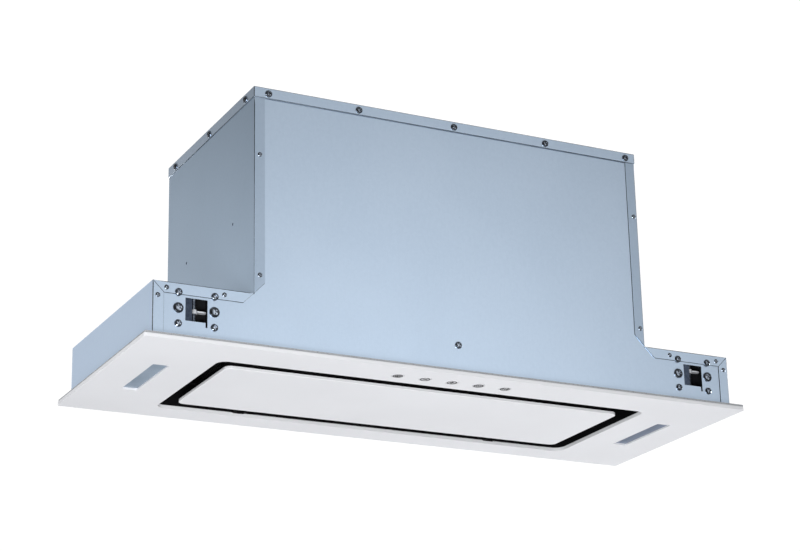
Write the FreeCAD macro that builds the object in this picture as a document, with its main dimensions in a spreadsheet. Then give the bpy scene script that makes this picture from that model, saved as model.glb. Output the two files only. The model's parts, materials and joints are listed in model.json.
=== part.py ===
"""Ceiling range hood: a flush glass panel under a sheet steel casing, with blower, filters and lights.

Millimetres. X runs right, Y runs back, Z runs up. The origin is under the middle of the glass panel,
at the height of its lower face. The driving sizes are in the sheet named Sizes.
"""
import FreeCAD
import Part
import Sketcher
import math
import os
from FreeCAD import Placement, Rotation, Vector

document = FreeCAD.newDocument("CeilingHood")
sheet = document.addObject("Spreadsheet::Sheet", "Sizes")

DRIVING_SIZES = (
    # glass panel and the hinged door in its middle
    ("door_width", 598.4),
    ("door_depth", 181.2),
    ("door_shift", 4.1),
    ("door_corner", 10),
    ("intake_gap_side", 24.8),
    ("intake_gap_front", 26.8),
    ("intake_gap_back", 29.9),
    ("opening_corner", 14),
    ("front_margin", 63.7),
    ("back_margin", 43.4),
    ("glass_gauge", 4),
    ("tray_gauge", 1),
    ("panel_corner", 4),
    # lamp windows
    ("lamp_offset", 51),
    ("lamp_width", 22.5),
    ("lamp_length", 122),
    ("lamp_corner", 1.5),
    ("lamp_shift", 11.15),
    ("lamp_margin", 52.5),
    ("lens_recess", 2.5),
    ("lens_clearance", 0.2),
    ("lens_flange", 3),
    ("lens_flange_gauge", 1.5),
    ("lamp_box_height", 19),
    ("lamp_box_room", 1),
    ("lamp_board_gauge", 1.6),
    # sheet steel casing
    ("overhang_side", 15),
    ("overhang_end", 14),
    ("sheet_gauge", 1),
    ("fold_width", 15),
    ("foot_width", 8),
    ("casing_height", 80),
    ("housing_width", 594),
    ("hood_height", 371),
    ("cover_skirt", 15.5),
    ("seal_height", 3),
    ("seal_inset", 1.5),
    # fasteners
    ("screw_head_radius", 5),
    ("screw_head_height", 2.4),
    ("screw_shank_radius", 2),
    ("screw_shank_length", 9),
    ("large_head_radius", 7),
    ("rivet_head_radius", 3.2),
    ("rivet_head_height", 1.1),
    ("rivet_shank_radius", 1.6),
    ("rivet_tail", 1.5),
    ("hole_clearance", 0.1),
    ("cover_screw_drop", 8.4),
    ("cover_screw_shift", 2.5),
    ("cover_screw_pitch", 146),
    ("cover_screw_end", 17.5),
    ("side_screw_pitch", 130),
    ("rivet_inset", 6.8),
    ("rivet_shift", 1.2),
    ("upper_rivet_height", 274),
    ("lower_rivet_height", 105.8),
    ("shoulder_rivet_offset", 41),
    ("shoulder_rivet_end", 18.5),
    ("end_rivet_drop", 19.3),
    ("bracket_hole_pitch", 169),
    ("bracket_hole_height", 200),
    ("bracket_hole_radius", 2),
    ("centre_screw_height", 46),
    ("frame_screw_inner", 120),
    ("frame_screw_outer", 320),
    ("frame_screw_end", 100),
    ("frame_head_radius", 3),
    # ceiling clamps
    ("clamp_inset", 59.3),
    ("clamp_window_width", 30),
    ("clamp_window_height", 30.3),
    ("clamp_window_sill", 31.5),
    ("clamp_slot_width", 2.5),
    ("clamp_slot_depth", 6.5),
    ("clamp_screw_offset", 24.5),
    ("clamp_screw_middle", 47.3),
    ("clamp_screw_pitch", 20.6),
    ("clamp_plate_gauge", 1.5),
    ("clamp_plate_margin", 6),
    ("clamp_pocket_width", 40),
    ("clamp_pocket_depth", 18),
    ("clamp_axis_depth", 8),
    ("clamp_ear_sill", 23),
    ("clamp_ear_gauge", 1.5),
    ("clamp_ear_span", 43.5),
    ("clamp_guide_edge", 5.5),
    ("spindle_radius", 2.5),
    ("spindle_head_radius", 4),
    ("spindle_head_height", 3),
    ("lug_reach", 16),
    ("lug_width", 7),
    ("lug_gauge", 1.8),
    ("lug_hub_radius", 4),
    ("lug_hub_height", 5.5),
    ("left_lug_height", 47),
    ("right_lug_height", 55),
    ("running_clearance", 0.05),
    ("play", 0.3),
    # intake liner, filter deck and grease filters
    ("liner_height", 35),
    ("liner_flange", 10),
    ("deck_gauge", 1.5),
    ("deck_ledge", 7),
    ("deck_rib", 12),
    ("filter_clearance", 1),
    ("filter_depth", 5.5),
    ("filter_rail", 8),
    ("filter_latch_rail", 18),
    ("mesh_depth", 4),
    ("mesh_drop", 0.5),
    ("filter_tongue_width", 40),
    ("filter_tongue_gauge", 1.5),
    ("filter_tongue_reach", 4),
    ("latch_width", 24),
    ("latch_pull_drop", 2),
    ("latch_pull_gauge", 1.5),
    ("latch_travel", 6),
    # door hinge and catches
    ("door_rim_height", 7),
    ("door_rim_gauge", 1),
    ("door_rim_inset", 5),
    ("hinge_offset", 200),
    ("hinge_back", 7),
    ("hinge_height", 8),
    ("hinge_pin_radius", 2),
    ("hinge_knuckle_radius", 4),
    ("hinge_knuckle_width", 12),
    ("hinge_cheek_gauge", 1.5),
    ("hinge_cheek_gap", 0.5),
    ("hinge_arm_length", 14),
    ("catch_width", 16),
    ("catch_height", 8),
    ("catch_overlap", 6),
    # push buttons
    ("button_pitch", 40.6),
    ("button_inset", 36.5),
    ("button_radius", 7),
    ("button_travel", 1),
    ("button_proud", 0.4),
    ("button_flange", 1.6),
    ("button_flange_gauge", 1.5),
    ("stem_radius", 2.5),
    ("stem_length", 8),
    ("bezel_wall", 0.8),
    ("bezel_clearance", 0.2),
    ("bezel_lip", 1.2),
    ("bezel_lip_gauge", 0.6),
    ("bezel_height", 6),
    ("switch_height", 3),
    ("switch_width", 6),
    ("board_gauge", 1.6),
    ("control_margin", 24),
    ("control_depth", 24),
    ("control_head", 4),
    # blower
    ("scroll_back_gap", 5),
    ("scroll_step", 14),
    ("scroll_gauge", 1.5),
    ("throat_depth", 152),
    ("scroll_width", 156),
    ("blower_drop", 165),
    ("tongue_gap", 17),
    ("inlet_radius", 62),
    ("impeller_side_gap", 5),
    ("impeller_blade_depth", 12),
    ("impeller_blade_gauge", 1.2),
    ("impeller_blade_inset", 1),
    ("impeller_disc_gauge", 2),
    ("impeller_hub_radius", 12),
    ("impeller_hub_length", 16),
    ("shaft_radius", 4),
    ("shaft_length", 34),
    ("motor_radius", 42),
    ("motor_gap", 4),
    ("motor_bar_width", 26),
    ("motor_bar_gauge", 2.5),
    ("motor_bar_overlap", 16),
    # duct collar and its flaps
    ("duct_radius", 74.5),
    ("duct_gauge", 2),
    ("duct_above", 35),
    ("duct_below", 51),
    ("duct_flange_radius", 92),
    ("duct_flange_gauge", 2.5),
    ("flap_drop", 36),
    ("flap_gauge", 1.5),
    ("flap_clearance", 0.7),
    ("flap_axis_offset", 4),
    ("flap_pin_radius", 2),
    ("flap_pin_setback", 1),
    # mains connection
    ("terminal_inset", 107),
    ("terminal_width", 90),
    ("terminal_depth", 70),
    ("terminal_height", 34),
    ("terminal_gauge", 2),
    ("gland_back", 20),
    ("gland_radius", 8),
    ("gland_nut_radius", 12),
    ("gland_nut_height", 6),
    ("gland_cap_height", 10),
    ("gland_bore_radius", 4),
)

BLADE_COUNT = 24


class Length:
    """A length, with the sheet expression that works it out."""

    def __init__(self, text, value):
        self.text = text
        self.value = value

    def __add__(self, other):
        other = length(other)
        return Length("(%s + %s)" % (self.text, other.text), self.value + other.value)

    def __sub__(self, other):
        other = length(other)
        return Length("(%s - %s)" % (self.text, other.text), self.value - other.value)

    def __mul__(self, factor):
        return Length("(%s * %s)" % (self.text, factor), self.value * factor)

    def __truediv__(self, divisor):
        return Length("(%s / %s)" % (self.text, divisor), self.value / divisor)

    def __neg__(self):
        return Length("(0 - %s)" % self.text, -self.value)

    def __radd__(self, other):
        return length(other) + self

    def __rsub__(self, other):
        return length(other) - self

    __rmul__ = __mul__


class SheetReader:
    """Gives the cell of the sheet that has the asked name."""

    def __getattr__(self, name):
        return Length("Sizes." + name, float(sheet.get(name)))


def length(thing):
    """Return a plain number as a Length, and a Length as it is."""
    if isinstance(thing, Length):
        return thing
    return Length(str(thing), float(thing))


def enter_sizes():
    """Write each driving size on its own line of the sheet, with its name as the alias."""
    for line, (name, value) in enumerate(DRIVING_SIZES, 1):
        sheet.set("A%d" % line, name)
        sheet.set("B%d" % line, str(value))
        sheet.setAlias("B%d" % line, name)
    document.recompute()


enter_sizes()
size = SheetReader()
nodes = []

FACING = {
    "+X": Rotation(Vector(0, 0, 1), Vector(1, 0, 0)),
    "-X": Rotation(Vector(0, 0, 1), Vector(-1, 0, 0)),
    "+Y": Rotation(Vector(0, 0, 1), Vector(0, 1, 0)),
    "-Y": Rotation(Vector(0, 0, 1), Vector(0, -1, 0)),
    "+Z": Rotation(Vector(0, 0, 1), Vector(0, 0, 1)),
    "-Z": Rotation(Vector(0, 0, 1), Vector(0, 0, -1)),
}
SIDES = (("left", -1), ("right", 1))
ENDS = (("front", -1), ("back", 1))


# ---------------------------------------------------------------- helpers

def bind(item, path, value):
    """Tie one property of an object to the sheet."""
    item.setExpression(path, length(value).text)


def place(item, x, y, z):
    """Tie the position of an object to the sheet."""
    bind(item, "Placement.Base.x", x)
    bind(item, "Placement.Base.y", y)
    bind(item, "Placement.Base.z", z)


def block(name, x, y, z):
    """A box between two limits on each axis."""
    item = document.addObject("Part::Box", name)
    bind(item, "Length", x[1] - x[0])
    bind(item, "Width", y[1] - y[0])
    bind(item, "Height", z[1] - z[0])
    place(item, x[0], y[0], z[0])
    return item


def rod(name, facing, start, run, radius):
    """A cylinder that runs from a point in one of the six axis directions."""
    item = document.addObject("Part::Cylinder", name)
    bind(item, "Radius", radius)
    bind(item, "Height", run)
    item.Placement = Placement(Vector(), FACING[facing])
    place(item, *start)
    return item


def fuse(name, *pieces):
    item = document.addObject("Part::MultiFuse", name)
    item.Shapes = list(pieces)
    item.Refine = True
    return item


def group(name, pieces):
    """Separate solids kept together under one name."""
    item = document.addObject("Part::Compound", name)
    item.Links = list(pieces)
    return item


def cut(name, base, *tools):
    item = document.addObject("Part::Cut", name)
    item.Base = base
    item.Tool = tools[0] if len(tools) == 1 else group(name + "_tools", tools)
    return item


def keep(item, label):
    """Name a finished sub-part and list it for the export."""
    item.Label = label
    nodes.append(item)
    return item


def polygon(*points):
    """An outline with straight sides."""
    def draw(sketch):
        first = sketch.GeometryCount
        count = len(points)
        for index, (u, v) in enumerate(points):
            after = points[(index + 1) % count]
            start = Vector(length(u).value, length(v).value, 0)
            end = Vector(length(after[0]).value, length(after[1]).value, 0)
            sketch.addGeometry(Part.LineSegment(start, end), False)
        for index, (u, v) in enumerate(points):
            line = first + index
            sketch.addConstraint(Sketcher.Constraint("Coincident", line, 2, first + (index + 1) % count, 1))
            pin(sketch, line, 1, u, v)
    return draw


def rectangle(u, v):
    """An outline with four straight sides between two limits on each axis."""
    return polygon((u[0], v[0]), (u[1], v[0]), (u[1], v[1]), (u[0], v[1]))


def circle(u, v, radius):
    """A round outline."""
    def draw(sketch):
        centre = Vector(length(u).value, length(v).value, 0)
        line = sketch.addGeometry(Part.Circle(centre, Vector(0, 0, 1), length(radius).value), False)
        pin(sketch, line, 3, u, v)
        limit(sketch, Sketcher.Constraint("Radius", line, length(radius).value), radius)
    return draw


def rounded(u, v, radius):
    """A rectangle outline with round corners."""
    def draw(sketch):
        corners = ((u[1], v[0], -1, 1, 270), (u[1], v[1], -1, -1, 0),
                   (u[0], v[1], 1, -1, 90), (u[0], v[0], 1, 1, 180))
        arcs = []
        for corner_u, corner_v, side_u, side_v, turn in corners:
            centre_u = corner_u + radius * side_u
            centre_v = corner_v + radius * side_v
            arcs.append(add_arc(sketch, centre_u, centre_v, radius, turn, turn + 90))
        for index, arc in enumerate(arcs):
            join_line(sketch, arc, arcs[(index + 1) % len(arcs)])
    return draw


def pin(sketch, line, point, u, v):
    """Hold one point of a sketch at its distances from the origin."""
    limit(sketch, Sketcher.Constraint("DistanceX", -1, 1, line, point, length(u).value), u)
    limit(sketch, Sketcher.Constraint("DistanceY", -1, 1, line, point, length(v).value), v)


def limit(sketch, constraint, value):
    """Add a constraint and tie its value to the sheet."""
    index = sketch.addConstraint(constraint)
    bind(sketch, "Constraints[%d]" % index, value)


def add_arc(sketch, centre_u, centre_v, radius, first_angle, last_angle):
    """An arc about a held centre, whose ends lie level with the centre or straight above or below it."""
    centre = Vector(centre_u.value, centre_v.value, 0)
    round_line = Part.Circle(centre, Vector(0, 0, 1), length(radius).value)
    angles = (math.radians(first_angle), math.radians(last_angle))
    arc = sketch.addGeometry(Part.ArcOfCircle(round_line, *angles), False)
    pin(sketch, arc, 3, centre_u, centre_v)
    limit(sketch, Sketcher.Constraint("Radius", arc, length(radius).value), radius)
    for point, angle in ((1, first_angle), (2, last_angle)):
        kind = "Horizontal" if angle % 180 == 0 else "Vertical"
        sketch.addConstraint(Sketcher.Constraint(kind, arc, point, arc, 3))
    return arc


def join_line(sketch, arc, following):
    """A straight side from the end of one arc to the start of the next."""
    geometry = sketch.Geometry
    line = sketch.addGeometry(Part.LineSegment(geometry[arc].EndPoint, geometry[following].StartPoint), False)
    sketch.addConstraint(Sketcher.Constraint("Coincident", line, 1, arc, 2))
    sketch.addConstraint(Sketcher.Constraint("Coincident", line, 2, following, 1))


class Panel:
    """A body made of padded and pocketed sketches on its own origin planes."""

    def __init__(self, name):
        self.body = document.addObject("PartDesign::Body", name)
        self.name = name

    def sketch(self, plane, distance, outlines):
        """A sketch on the plane XY, XZ or YZ, moved along that plane's own normal."""
        sketch = self.body.newObject("Sketcher::SketchObject", self.name + "_sketch")
        role = plane + "_Plane"
        support = next(item for item in self.body.Origin.OriginFeatures if item.Role == role)
        sketch.AttachmentSupport = (support, [""])
        sketch.MapMode = "FlatFace"
        bind(sketch, "AttachmentOffset.Base.z", distance)
        for outline in outlines:
            outline(sketch)
        return sketch

    def add(self, plane, start, thickness, *outlines):
        """Material from start, as thick as given, along +X, +Y or +Z."""
        far = -(start + thickness) if plane == "XZ" else length(start)
        pad = self.body.newObject("PartDesign::Pad", self.name + "_pad")
        pad.Profile = self.sketch(plane, far, outlines)
        bind(pad, "Length", thickness)
        self.body.Tip = pad
        return pad

    def remove(self, plane, start, depth, *outlines):
        """Take material away from start, as deep as given, along +X, +Y or +Z."""
        near = -length(start) if plane == "XZ" else start + depth
        pocket = self.body.newObject("PartDesign::Pocket", self.name + "_pocket")
        pocket.Profile = self.sketch(plane, near, outlines)
        bind(pocket, "Length", depth)
        self.body.Tip = pocket
        return pocket


# ---------------------------------------------------------------- sizes worked out once

opening_width = size.door_width + size.intake_gap_side * 2
opening_depth = size.door_depth + size.intake_gap_front + size.intake_gap_back
panel_width = opening_width + (size.lamp_offset + size.lamp_width + size.lamp_margin) * 2
panel_depth = size.front_margin + opening_depth + size.back_margin
body_width = panel_width - size.overhang_side * 2
body_depth = panel_depth - size.overhang_end * 2
half_body = body_width / 2
half_housing = size.housing_width / 2
terminal_x = half_housing - size.terminal_inset
face = body_depth / 2
gauge = size.sheet_gauge
tray_top = size.glass_gauge + size.tray_gauge

opening_x = (-(opening_width / 2), opening_width / 2)
opening_y = (size.front_margin - panel_depth / 2, panel_depth / 2 - size.back_margin)
door_x = (-(size.door_width / 2) - size.door_shift, size.door_width / 2 - size.door_shift)
door_y = (opening_y[0] + size.intake_gap_front, opening_y[1] - size.intake_gap_back)
button_y = size.button_inset - panel_depth / 2
button_places = [size.button_pitch * step for step in (-2, -1, 0, 1, 2)]
bezel_inner = size.button_radius + size.bezel_clearance
bezel_outer = bezel_inner + size.bezel_wall

inner_face = face - gauge * 2
cover_under = size.hood_height - gauge
skirt_base = size.hood_height - size.cover_skirt
cover_screw_height = size.hood_height - size.cover_screw_drop
clamp_centre = half_body - size.clamp_inset
shoulder_rivet_height = size.casing_height - size.rivet_inset - gauge
deck_base = tray_top + size.liner_height
deck_top = deck_base + size.deck_gauge

scroll_back = inner_face - size.scroll_back_gap - size.scroll_gauge
blower_y = (scroll_back + size.scroll_step * 3 - size.throat_depth / 2) / 2
scroll_radius = (scroll_back - size.scroll_step * 3 + size.throat_depth / 2) / 2
blower_z = cover_under - size.blower_drop


def mirrored(limits, side):
    """Limits on one axis, on the far (1) or the near (-1) side of the middle."""
    if side > 0:
        return limits
    return (-limits[1], -limits[0])


def lamp_x(side):
    start = opening_width / 2 + size.lamp_offset
    return mirrored((start, start + size.lamp_width), side)


def lamp_y():
    start = opening_y[0] + (opening_depth - size.lamp_length) / 2 - size.lamp_shift
    return (start, start + size.lamp_length)


def grown(limits, amount):
    return (limits[0] - amount, limits[1] + amount)


# ---------------------------------------------------------------- glass panel

def make_glass_frame():
    panel = Panel("glass_frame")
    panel_x = (-(panel_width / 2), panel_width / 2)
    panel_y = (-(panel_depth / 2), panel_depth / 2)
    outlines = [rounded(panel_x, panel_y, size.panel_corner)]
    outlines.append(rounded(opening_x, opening_y, size.opening_corner))
    for name, side in SIDES:
        outlines.append(rounded(lamp_x(side), lamp_y(), size.lamp_corner))
    bezel_holes = [circle(x, button_y, bezel_outer + size.hole_clearance) for x in button_places]
    panel.add("XY", length(0), size.glass_gauge, *outlines)
    panel.remove("XY", length(0), size.glass_gauge, *bezel_holes)
    keep(panel.body, "glass_frame")

    tray = Panel("frame_tray")
    screw_hole = size.screw_shank_radius + size.hole_clearance
    screw_holes = [circle(x, y, screw_hole) for x, y in frame_screw_places()]
    tray.add("XY", size.glass_gauge, size.tray_gauge, *outlines)
    tray.remove("XY", size.glass_gauge, size.tray_gauge, *bezel_holes)
    tray.remove("XY", size.glass_gauge, size.tray_gauge, *screw_holes)
    keep(tray.body, "frame_tray")


def frame_screw_places():
    """Screws through the foot of the casing into the tray."""
    row = face - gauge * 2 - size.foot_width / 2
    column = half_body - gauge - size.foot_width / 2
    places = []
    for name, side in SIDES:
        for end_name, end in ENDS:
            places.append((size.frame_screw_inner * side, row * end))
            places.append((size.frame_screw_outer * side, row * end))
            places.append((column * side, size.frame_screw_end * end))
    return places


def make_door():
    glass = Panel("door_glass")
    glass.add("XY", length(0), size.glass_gauge, rounded(door_x, door_y, size.door_corner))
    keep(glass.body, "door_glass")

    tray = Panel("door_tray")
    inset = size.door_rim_gauge
    tray_x = grown(door_x, -inset)
    tray_y = grown(door_y, -inset)
    tray.add("XY", size.glass_gauge, size.tray_gauge, rounded(tray_x, tray_y, size.door_corner - inset))
    rim_x = grown(door_x, -size.door_rim_inset)
    rim_y = grown(door_y, -size.door_rim_inset)
    rim_corner = size.door_corner - size.door_rim_inset
    inner_x = grown(rim_x, -size.door_rim_gauge)
    inner_y = grown(rim_y, -size.door_rim_gauge)
    inner_corner = rim_corner - size.door_rim_gauge
    rim = (rounded(rim_x, rim_y, rim_corner), rounded(inner_x, inner_y, inner_corner))
    tray.add("XY", tray_top, size.door_rim_height, *rim)
    half = size.hinge_knuckle_width / 2
    reach = (hinge_y() - size.hinge_knuckle_radius - size.hinge_arm_length, hinge_y())
    bottom = tray_top
    top = size.hinge_height + size.hinge_knuckle_radius
    knuckle = circle(hinge_y(), size.hinge_height, size.hinge_knuckle_radius)
    for name, side in SIDES:
        start = size.hinge_offset * side - half
        tray.add("YZ", start, half * 2, rectangle(reach, (bottom, top)))
        tray.add("YZ", start, half * 2, knuckle)
        bore = circle(hinge_y(), size.hinge_height, size.hinge_pin_radius + size.running_clearance)
        tray.remove("YZ", start, half * 2, bore)
    keep(tray.body, "door_tray")


def hinge_y():
    return door_y[1] + size.hinge_back


def make_door_hinge():
    half = size.hinge_knuckle_width / 2
    wall = opening_y[1]
    low = size.hinge_height - size.hinge_knuckle_radius
    high = size.hinge_height + size.hinge_knuckle_radius
    cheek_start = half + size.hinge_cheek_gap
    cheek_end = cheek_start + size.hinge_cheek_gauge
    brackets = []
    pins = []
    for name, side in SIDES:
        middle = size.hinge_offset * side
        cheek_y = (hinge_y() - size.hinge_knuckle_radius, wall)
        left = block("cheek", (middle - cheek_end, middle - cheek_start), cheek_y, (low, high))
        right = block("cheek", (middle + cheek_start, middle + cheek_end), cheek_y, (low, high))
        back = (wall - size.hinge_cheek_gauge, wall)
        web = block("web", (middle - cheek_end, middle + cheek_end), back, (low, high + size.catch_height))
        start = (middle - cheek_end, hinge_y(), size.hinge_height)
        bore = rod("bore", "+X", start, cheek_end * 2, size.hinge_pin_radius)
        brackets.append(cut("hinge_bracket", fuse("hinge_body", left, right, web), bore))
        pins.append(rod("hinge_pin", "+X", start, cheek_end * 2, size.hinge_pin_radius))
    keep(group("door_hinge_brackets", brackets), "door_hinge_brackets")
    keep(group("door_hinge_pins", pins), "door_hinge_pins")

    catches = []
    for name, side in SIDES:
        middle = size.hinge_offset * side
        base = tray_top + size.door_rim_height + size.play
        x = (middle - size.catch_width / 2, middle + size.catch_width / 2)
        y = (opening_y[0], door_y[0] + size.door_rim_inset + size.catch_overlap)
        catches.append(block("catch", x, y, (base, base + size.catch_height)))
    keep(group("door_catches", catches), "door_catches")


def make_seal():
    seal = Panel("seal_strip")
    inner_x = (-(half_body + size.seal_inset), half_body + size.seal_inset)
    inner_y = (-(face + size.seal_inset), face + size.seal_inset)
    outer_x = grown((-(panel_width / 2), panel_width / 2), -size.seal_inset)
    outer_y = grown((-(panel_depth / 2), panel_depth / 2), -size.seal_inset)
    seal.add("XY", tray_top, size.seal_height, rectangle(outer_x, outer_y), rectangle(inner_x, inner_y))
    keep(seal.body, "seal_strip")


# ---------------------------------------------------------------- casing

def cover_screw_columns():
    end = half_housing - size.cover_screw_end
    columns = (-end, -size.cover_screw_pitch, length(0), size.cover_screw_pitch, end)
    return [column + size.cover_screw_shift for column in columns]


def clamp_screw_places(side):
    """Column, row, head radius and fold of the six screws around one clamp window.

    The top pair goes through the shoulder's fold and sits on it. The others sit on the plain sheet.
    """
    places = []
    for step in (-1, 0, 1):
        row = size.clamp_screw_middle + size.clamp_screw_pitch * step
        radius = size.large_head_radius if step == 0 else size.screw_head_radius
        fold = "shoulder" if step == 1 else "none"
        for edge in (-1, 1):
            places.append((clamp_centre * side + size.clamp_screw_offset * edge, row, radius, fold))
    return places


def rivet_places():
    """Column and row of each rivet on the front face, and the fold that it holds."""
    places = []
    for name, side in SIDES:
        column = (half_housing - size.rivet_inset) * side + size.rivet_shift
        places.append((column, size.upper_rivet_height, "housing"))
        places.append((column, size.lower_rivet_height, "housing"))
        places.append(((half_housing + size.shoulder_rivet_offset) * side, shoulder_rivet_height, "shoulder"))
        places.append(((half_body - size.shoulder_rivet_end) * side, shoulder_rivet_height, "shoulder"))
        end_column = (half_body - size.rivet_inset) * side
        places.append((end_column, size.casing_height - size.end_rivet_drop, "end"))
    return places


def clamp_window(side):
    x = (clamp_centre * side - size.clamp_window_width / 2, clamp_centre * side + size.clamp_window_width / 2)
    sill = size.clamp_window_sill
    top = sill + size.clamp_window_height
    slot_x = x[1] - size.clamp_slot_width
    slot_sill = sill - size.clamp_slot_depth
    return polygon((x[0], sill), (slot_x, sill), (slot_x, slot_sill),
                   (x[1], slot_sill), (x[1], top), (x[0], top))


def make_end_sheet(name, end):
    """The T-shaped front or back sheet, with a foot folded inwards on the tray."""
    panel = Panel(name)
    low = half_body - gauge
    high = half_housing - gauge
    step = size.casing_height - gauge
    outline = polygon((-low, tray_top), (low, tray_top), (low, step), (high, step),
                      (high, cover_under), (-high, cover_under), (-high, step), (-low, step))
    outlines = [outline]
    screw_hole = size.screw_shank_radius + size.hole_clearance
    rivet_hole = size.rivet_shank_radius + size.hole_clearance
    for column in cover_screw_columns():
        outlines.append(circle(column, cover_screw_height, screw_hole))
    for column, row, fold in rivet_places():
        outlines.append(circle(column, row, rivet_hole))
    for side_name, side in SIDES:
        outlines.append(clamp_window(side))
        for column, row, radius, fold in clamp_screw_places(side):
            outlines.append(circle(column, row, screw_hole))
    if end < 0:
        outlines.append(circle(length(0), size.centre_screw_height, screw_hole))
    sheet_y = mirrored((inner_face, inner_face + gauge), end)
    panel.add("XZ", sheet_y[0], gauge, *outlines)
    foot_y = mirrored((inner_face - size.foot_width, inner_face), end)
    foot = [rectangle((-low, low), foot_y)]
    for x, y in frame_screw_places():
        if y.value * end > (inner_face - size.foot_width).value:
            foot.append(circle(x, y, screw_hole))
    panel.add("XY", tray_top, gauge, *foot)
    keep(panel.body, name)


def add_folds(panel, points, holes):
    """The same fold over the front and over the back sheet."""
    for end_name, end in ENDS:
        fold_y = mirrored((face - gauge, face), end)
        panel.add("XZ", fold_y[0], gauge, polygon(*points), *holes)


def fold_holes(side, fold):
    rivet_hole = size.rivet_shank_radius + size.hole_clearance
    return [circle(column, row, rivet_hole) for column, row, kind in rivet_places()
            if kind == fold and column.value * side > 0]


def make_housing_side(name, side):
    panel = Panel("housing_side_" + name)
    wall_y = (gauge - face, face - gauge)
    wall_z = (size.casing_height, cover_under)
    outlines = [rectangle(wall_y, wall_z)]
    for step in (-1, 0, 1):
        hole = size.screw_shank_radius + size.hole_clearance
        outlines.append(circle(size.side_screw_pitch * step, cover_screw_height, hole))
    for step in (-1, 1):
        column = size.bracket_hole_pitch / 2 * step
        outlines.append(circle(column, size.bracket_hole_height, size.bracket_hole_radius))
    wall_x = mirrored((half_housing - gauge, half_housing), side)
    panel.add("YZ", wall_x[0], gauge, *outlines)
    outer = half_housing * side
    inner = (half_housing - size.fold_width) * side
    points = ((outer, size.casing_height), (outer, skirt_base), (inner, skirt_base),
              (inner, size.casing_height + size.fold_width))
    add_folds(panel, points, fold_holes(side, "housing"))
    keep(panel.body, "housing_side_" + name)


def make_shoulder(name, side):
    panel = Panel("shoulder_" + name)
    plate_x = mirrored((half_housing - gauge, half_body - gauge), side)
    plate_y = (gauge - face, face - gauge)
    panel.add("XY", size.casing_height - gauge, gauge, rectangle(plate_x, plate_y))
    top = size.casing_height
    low = top - size.fold_width
    inner = half_housing
    outer = half_body
    points = ((inner * side, top), (outer * side, top), ((outer - size.fold_width) * side, low),
              ((inner + size.fold_width) * side, low))
    holes = fold_holes(side, "shoulder")
    screw_hole = size.screw_shank_radius + size.hole_clearance
    holes += [circle(column, row, screw_hole) for column, row, radius, fold in clamp_screw_places(side)
              if fold == "shoulder"]
    add_folds(panel, points, holes)
    keep(panel.body, "shoulder_" + name)


def make_end_wall(name, side):
    panel = Panel("end_wall_" + name)
    wall_y = (gauge - face, face - gauge)
    wall_x = mirrored((half_body - gauge, half_body), side)
    panel.add("YZ", wall_x[0], gauge, rectangle(wall_y, (tray_top, size.casing_height)))
    outer = half_body * side
    inner = (half_body - size.fold_width) * side
    points = ((inner, tray_top), (outer, tray_top), (outer, size.casing_height),
              (inner, size.casing_height - size.fold_width))
    add_folds(panel, points, fold_holes(side, "end"))
    foot_x = mirrored((half_body - gauge - size.foot_width, half_body - gauge), side)
    foot_end = inner_face - size.foot_width
    foot = [rectangle(foot_x, (-foot_end, foot_end))]
    for x, y in frame_screw_places():
        if x.value * side > (half_body - gauge - size.foot_width).value:
            foot.append(circle(x, y, size.screw_shank_radius + size.hole_clearance))
    panel.add("XY", tray_top, gauge, *foot)
    keep(panel.body, "end_wall_" + name)


def make_top_cover():
    panel = Panel("top_cover")
    outer_x = (-(half_housing + gauge), half_housing + gauge)
    outer_y = (-(face + gauge), face + gauge)
    holes = [circle(length(0), length(0), size.duct_radius + size.hole_clearance)]
    holes.append(circle(terminal_x, size.gland_back, size.gland_radius + size.hole_clearance))
    panel.add("XY", cover_under, gauge, rectangle(outer_x, outer_y), *holes)
    inner = rectangle(grown(outer_x, -gauge), grown(outer_y, -gauge))
    panel.add("XY", skirt_base, size.cover_skirt - gauge, rectangle(outer_x, outer_y), inner)
    hole = size.screw_shank_radius + size.hole_clearance
    front_holes = [circle(column, cover_screw_height, hole) for column in cover_screw_columns()]
    side_holes = [circle(size.side_screw_pitch * step, cover_screw_height, hole) for step in (-1, 0, 1)]
    for end_name, end in ENDS:
        skirt_y = mirrored((face, face + gauge), end)
        panel.remove("XZ", skirt_y[0], gauge, *front_holes)
        skirt_x = mirrored((half_housing, half_housing + gauge), end)
        panel.remove("YZ", skirt_x[0], gauge, *side_holes)
    keep(panel.body, "top_cover")


# ---------------------------------------------------------------- fasteners

OPPOSITE = {"+X": "-X", "-X": "+X", "+Y": "-Y", "-Y": "+Y", "+Z": "-Z", "-Z": "+Z"}


def screw(facing, seat, head_radius, shank_length):
    """A pan head on its seat, facing outwards, and the shank behind it."""
    head = rod("screw_head", facing, seat, size.screw_head_height, head_radius)
    shank = rod("screw_shank", OPPOSITE[facing], seat, shank_length, size.screw_shank_radius)
    return fuse("screw", head, shank)


def rivet(facing, seat):
    head = rod("rivet_head", facing, seat, size.rivet_head_height, size.rivet_head_radius)
    run = gauge * 2 + size.rivet_tail
    shank = rod("rivet_shank", OPPOSITE[facing], seat, run, size.rivet_shank_radius)
    return fuse("rivet", head, shank)


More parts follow.
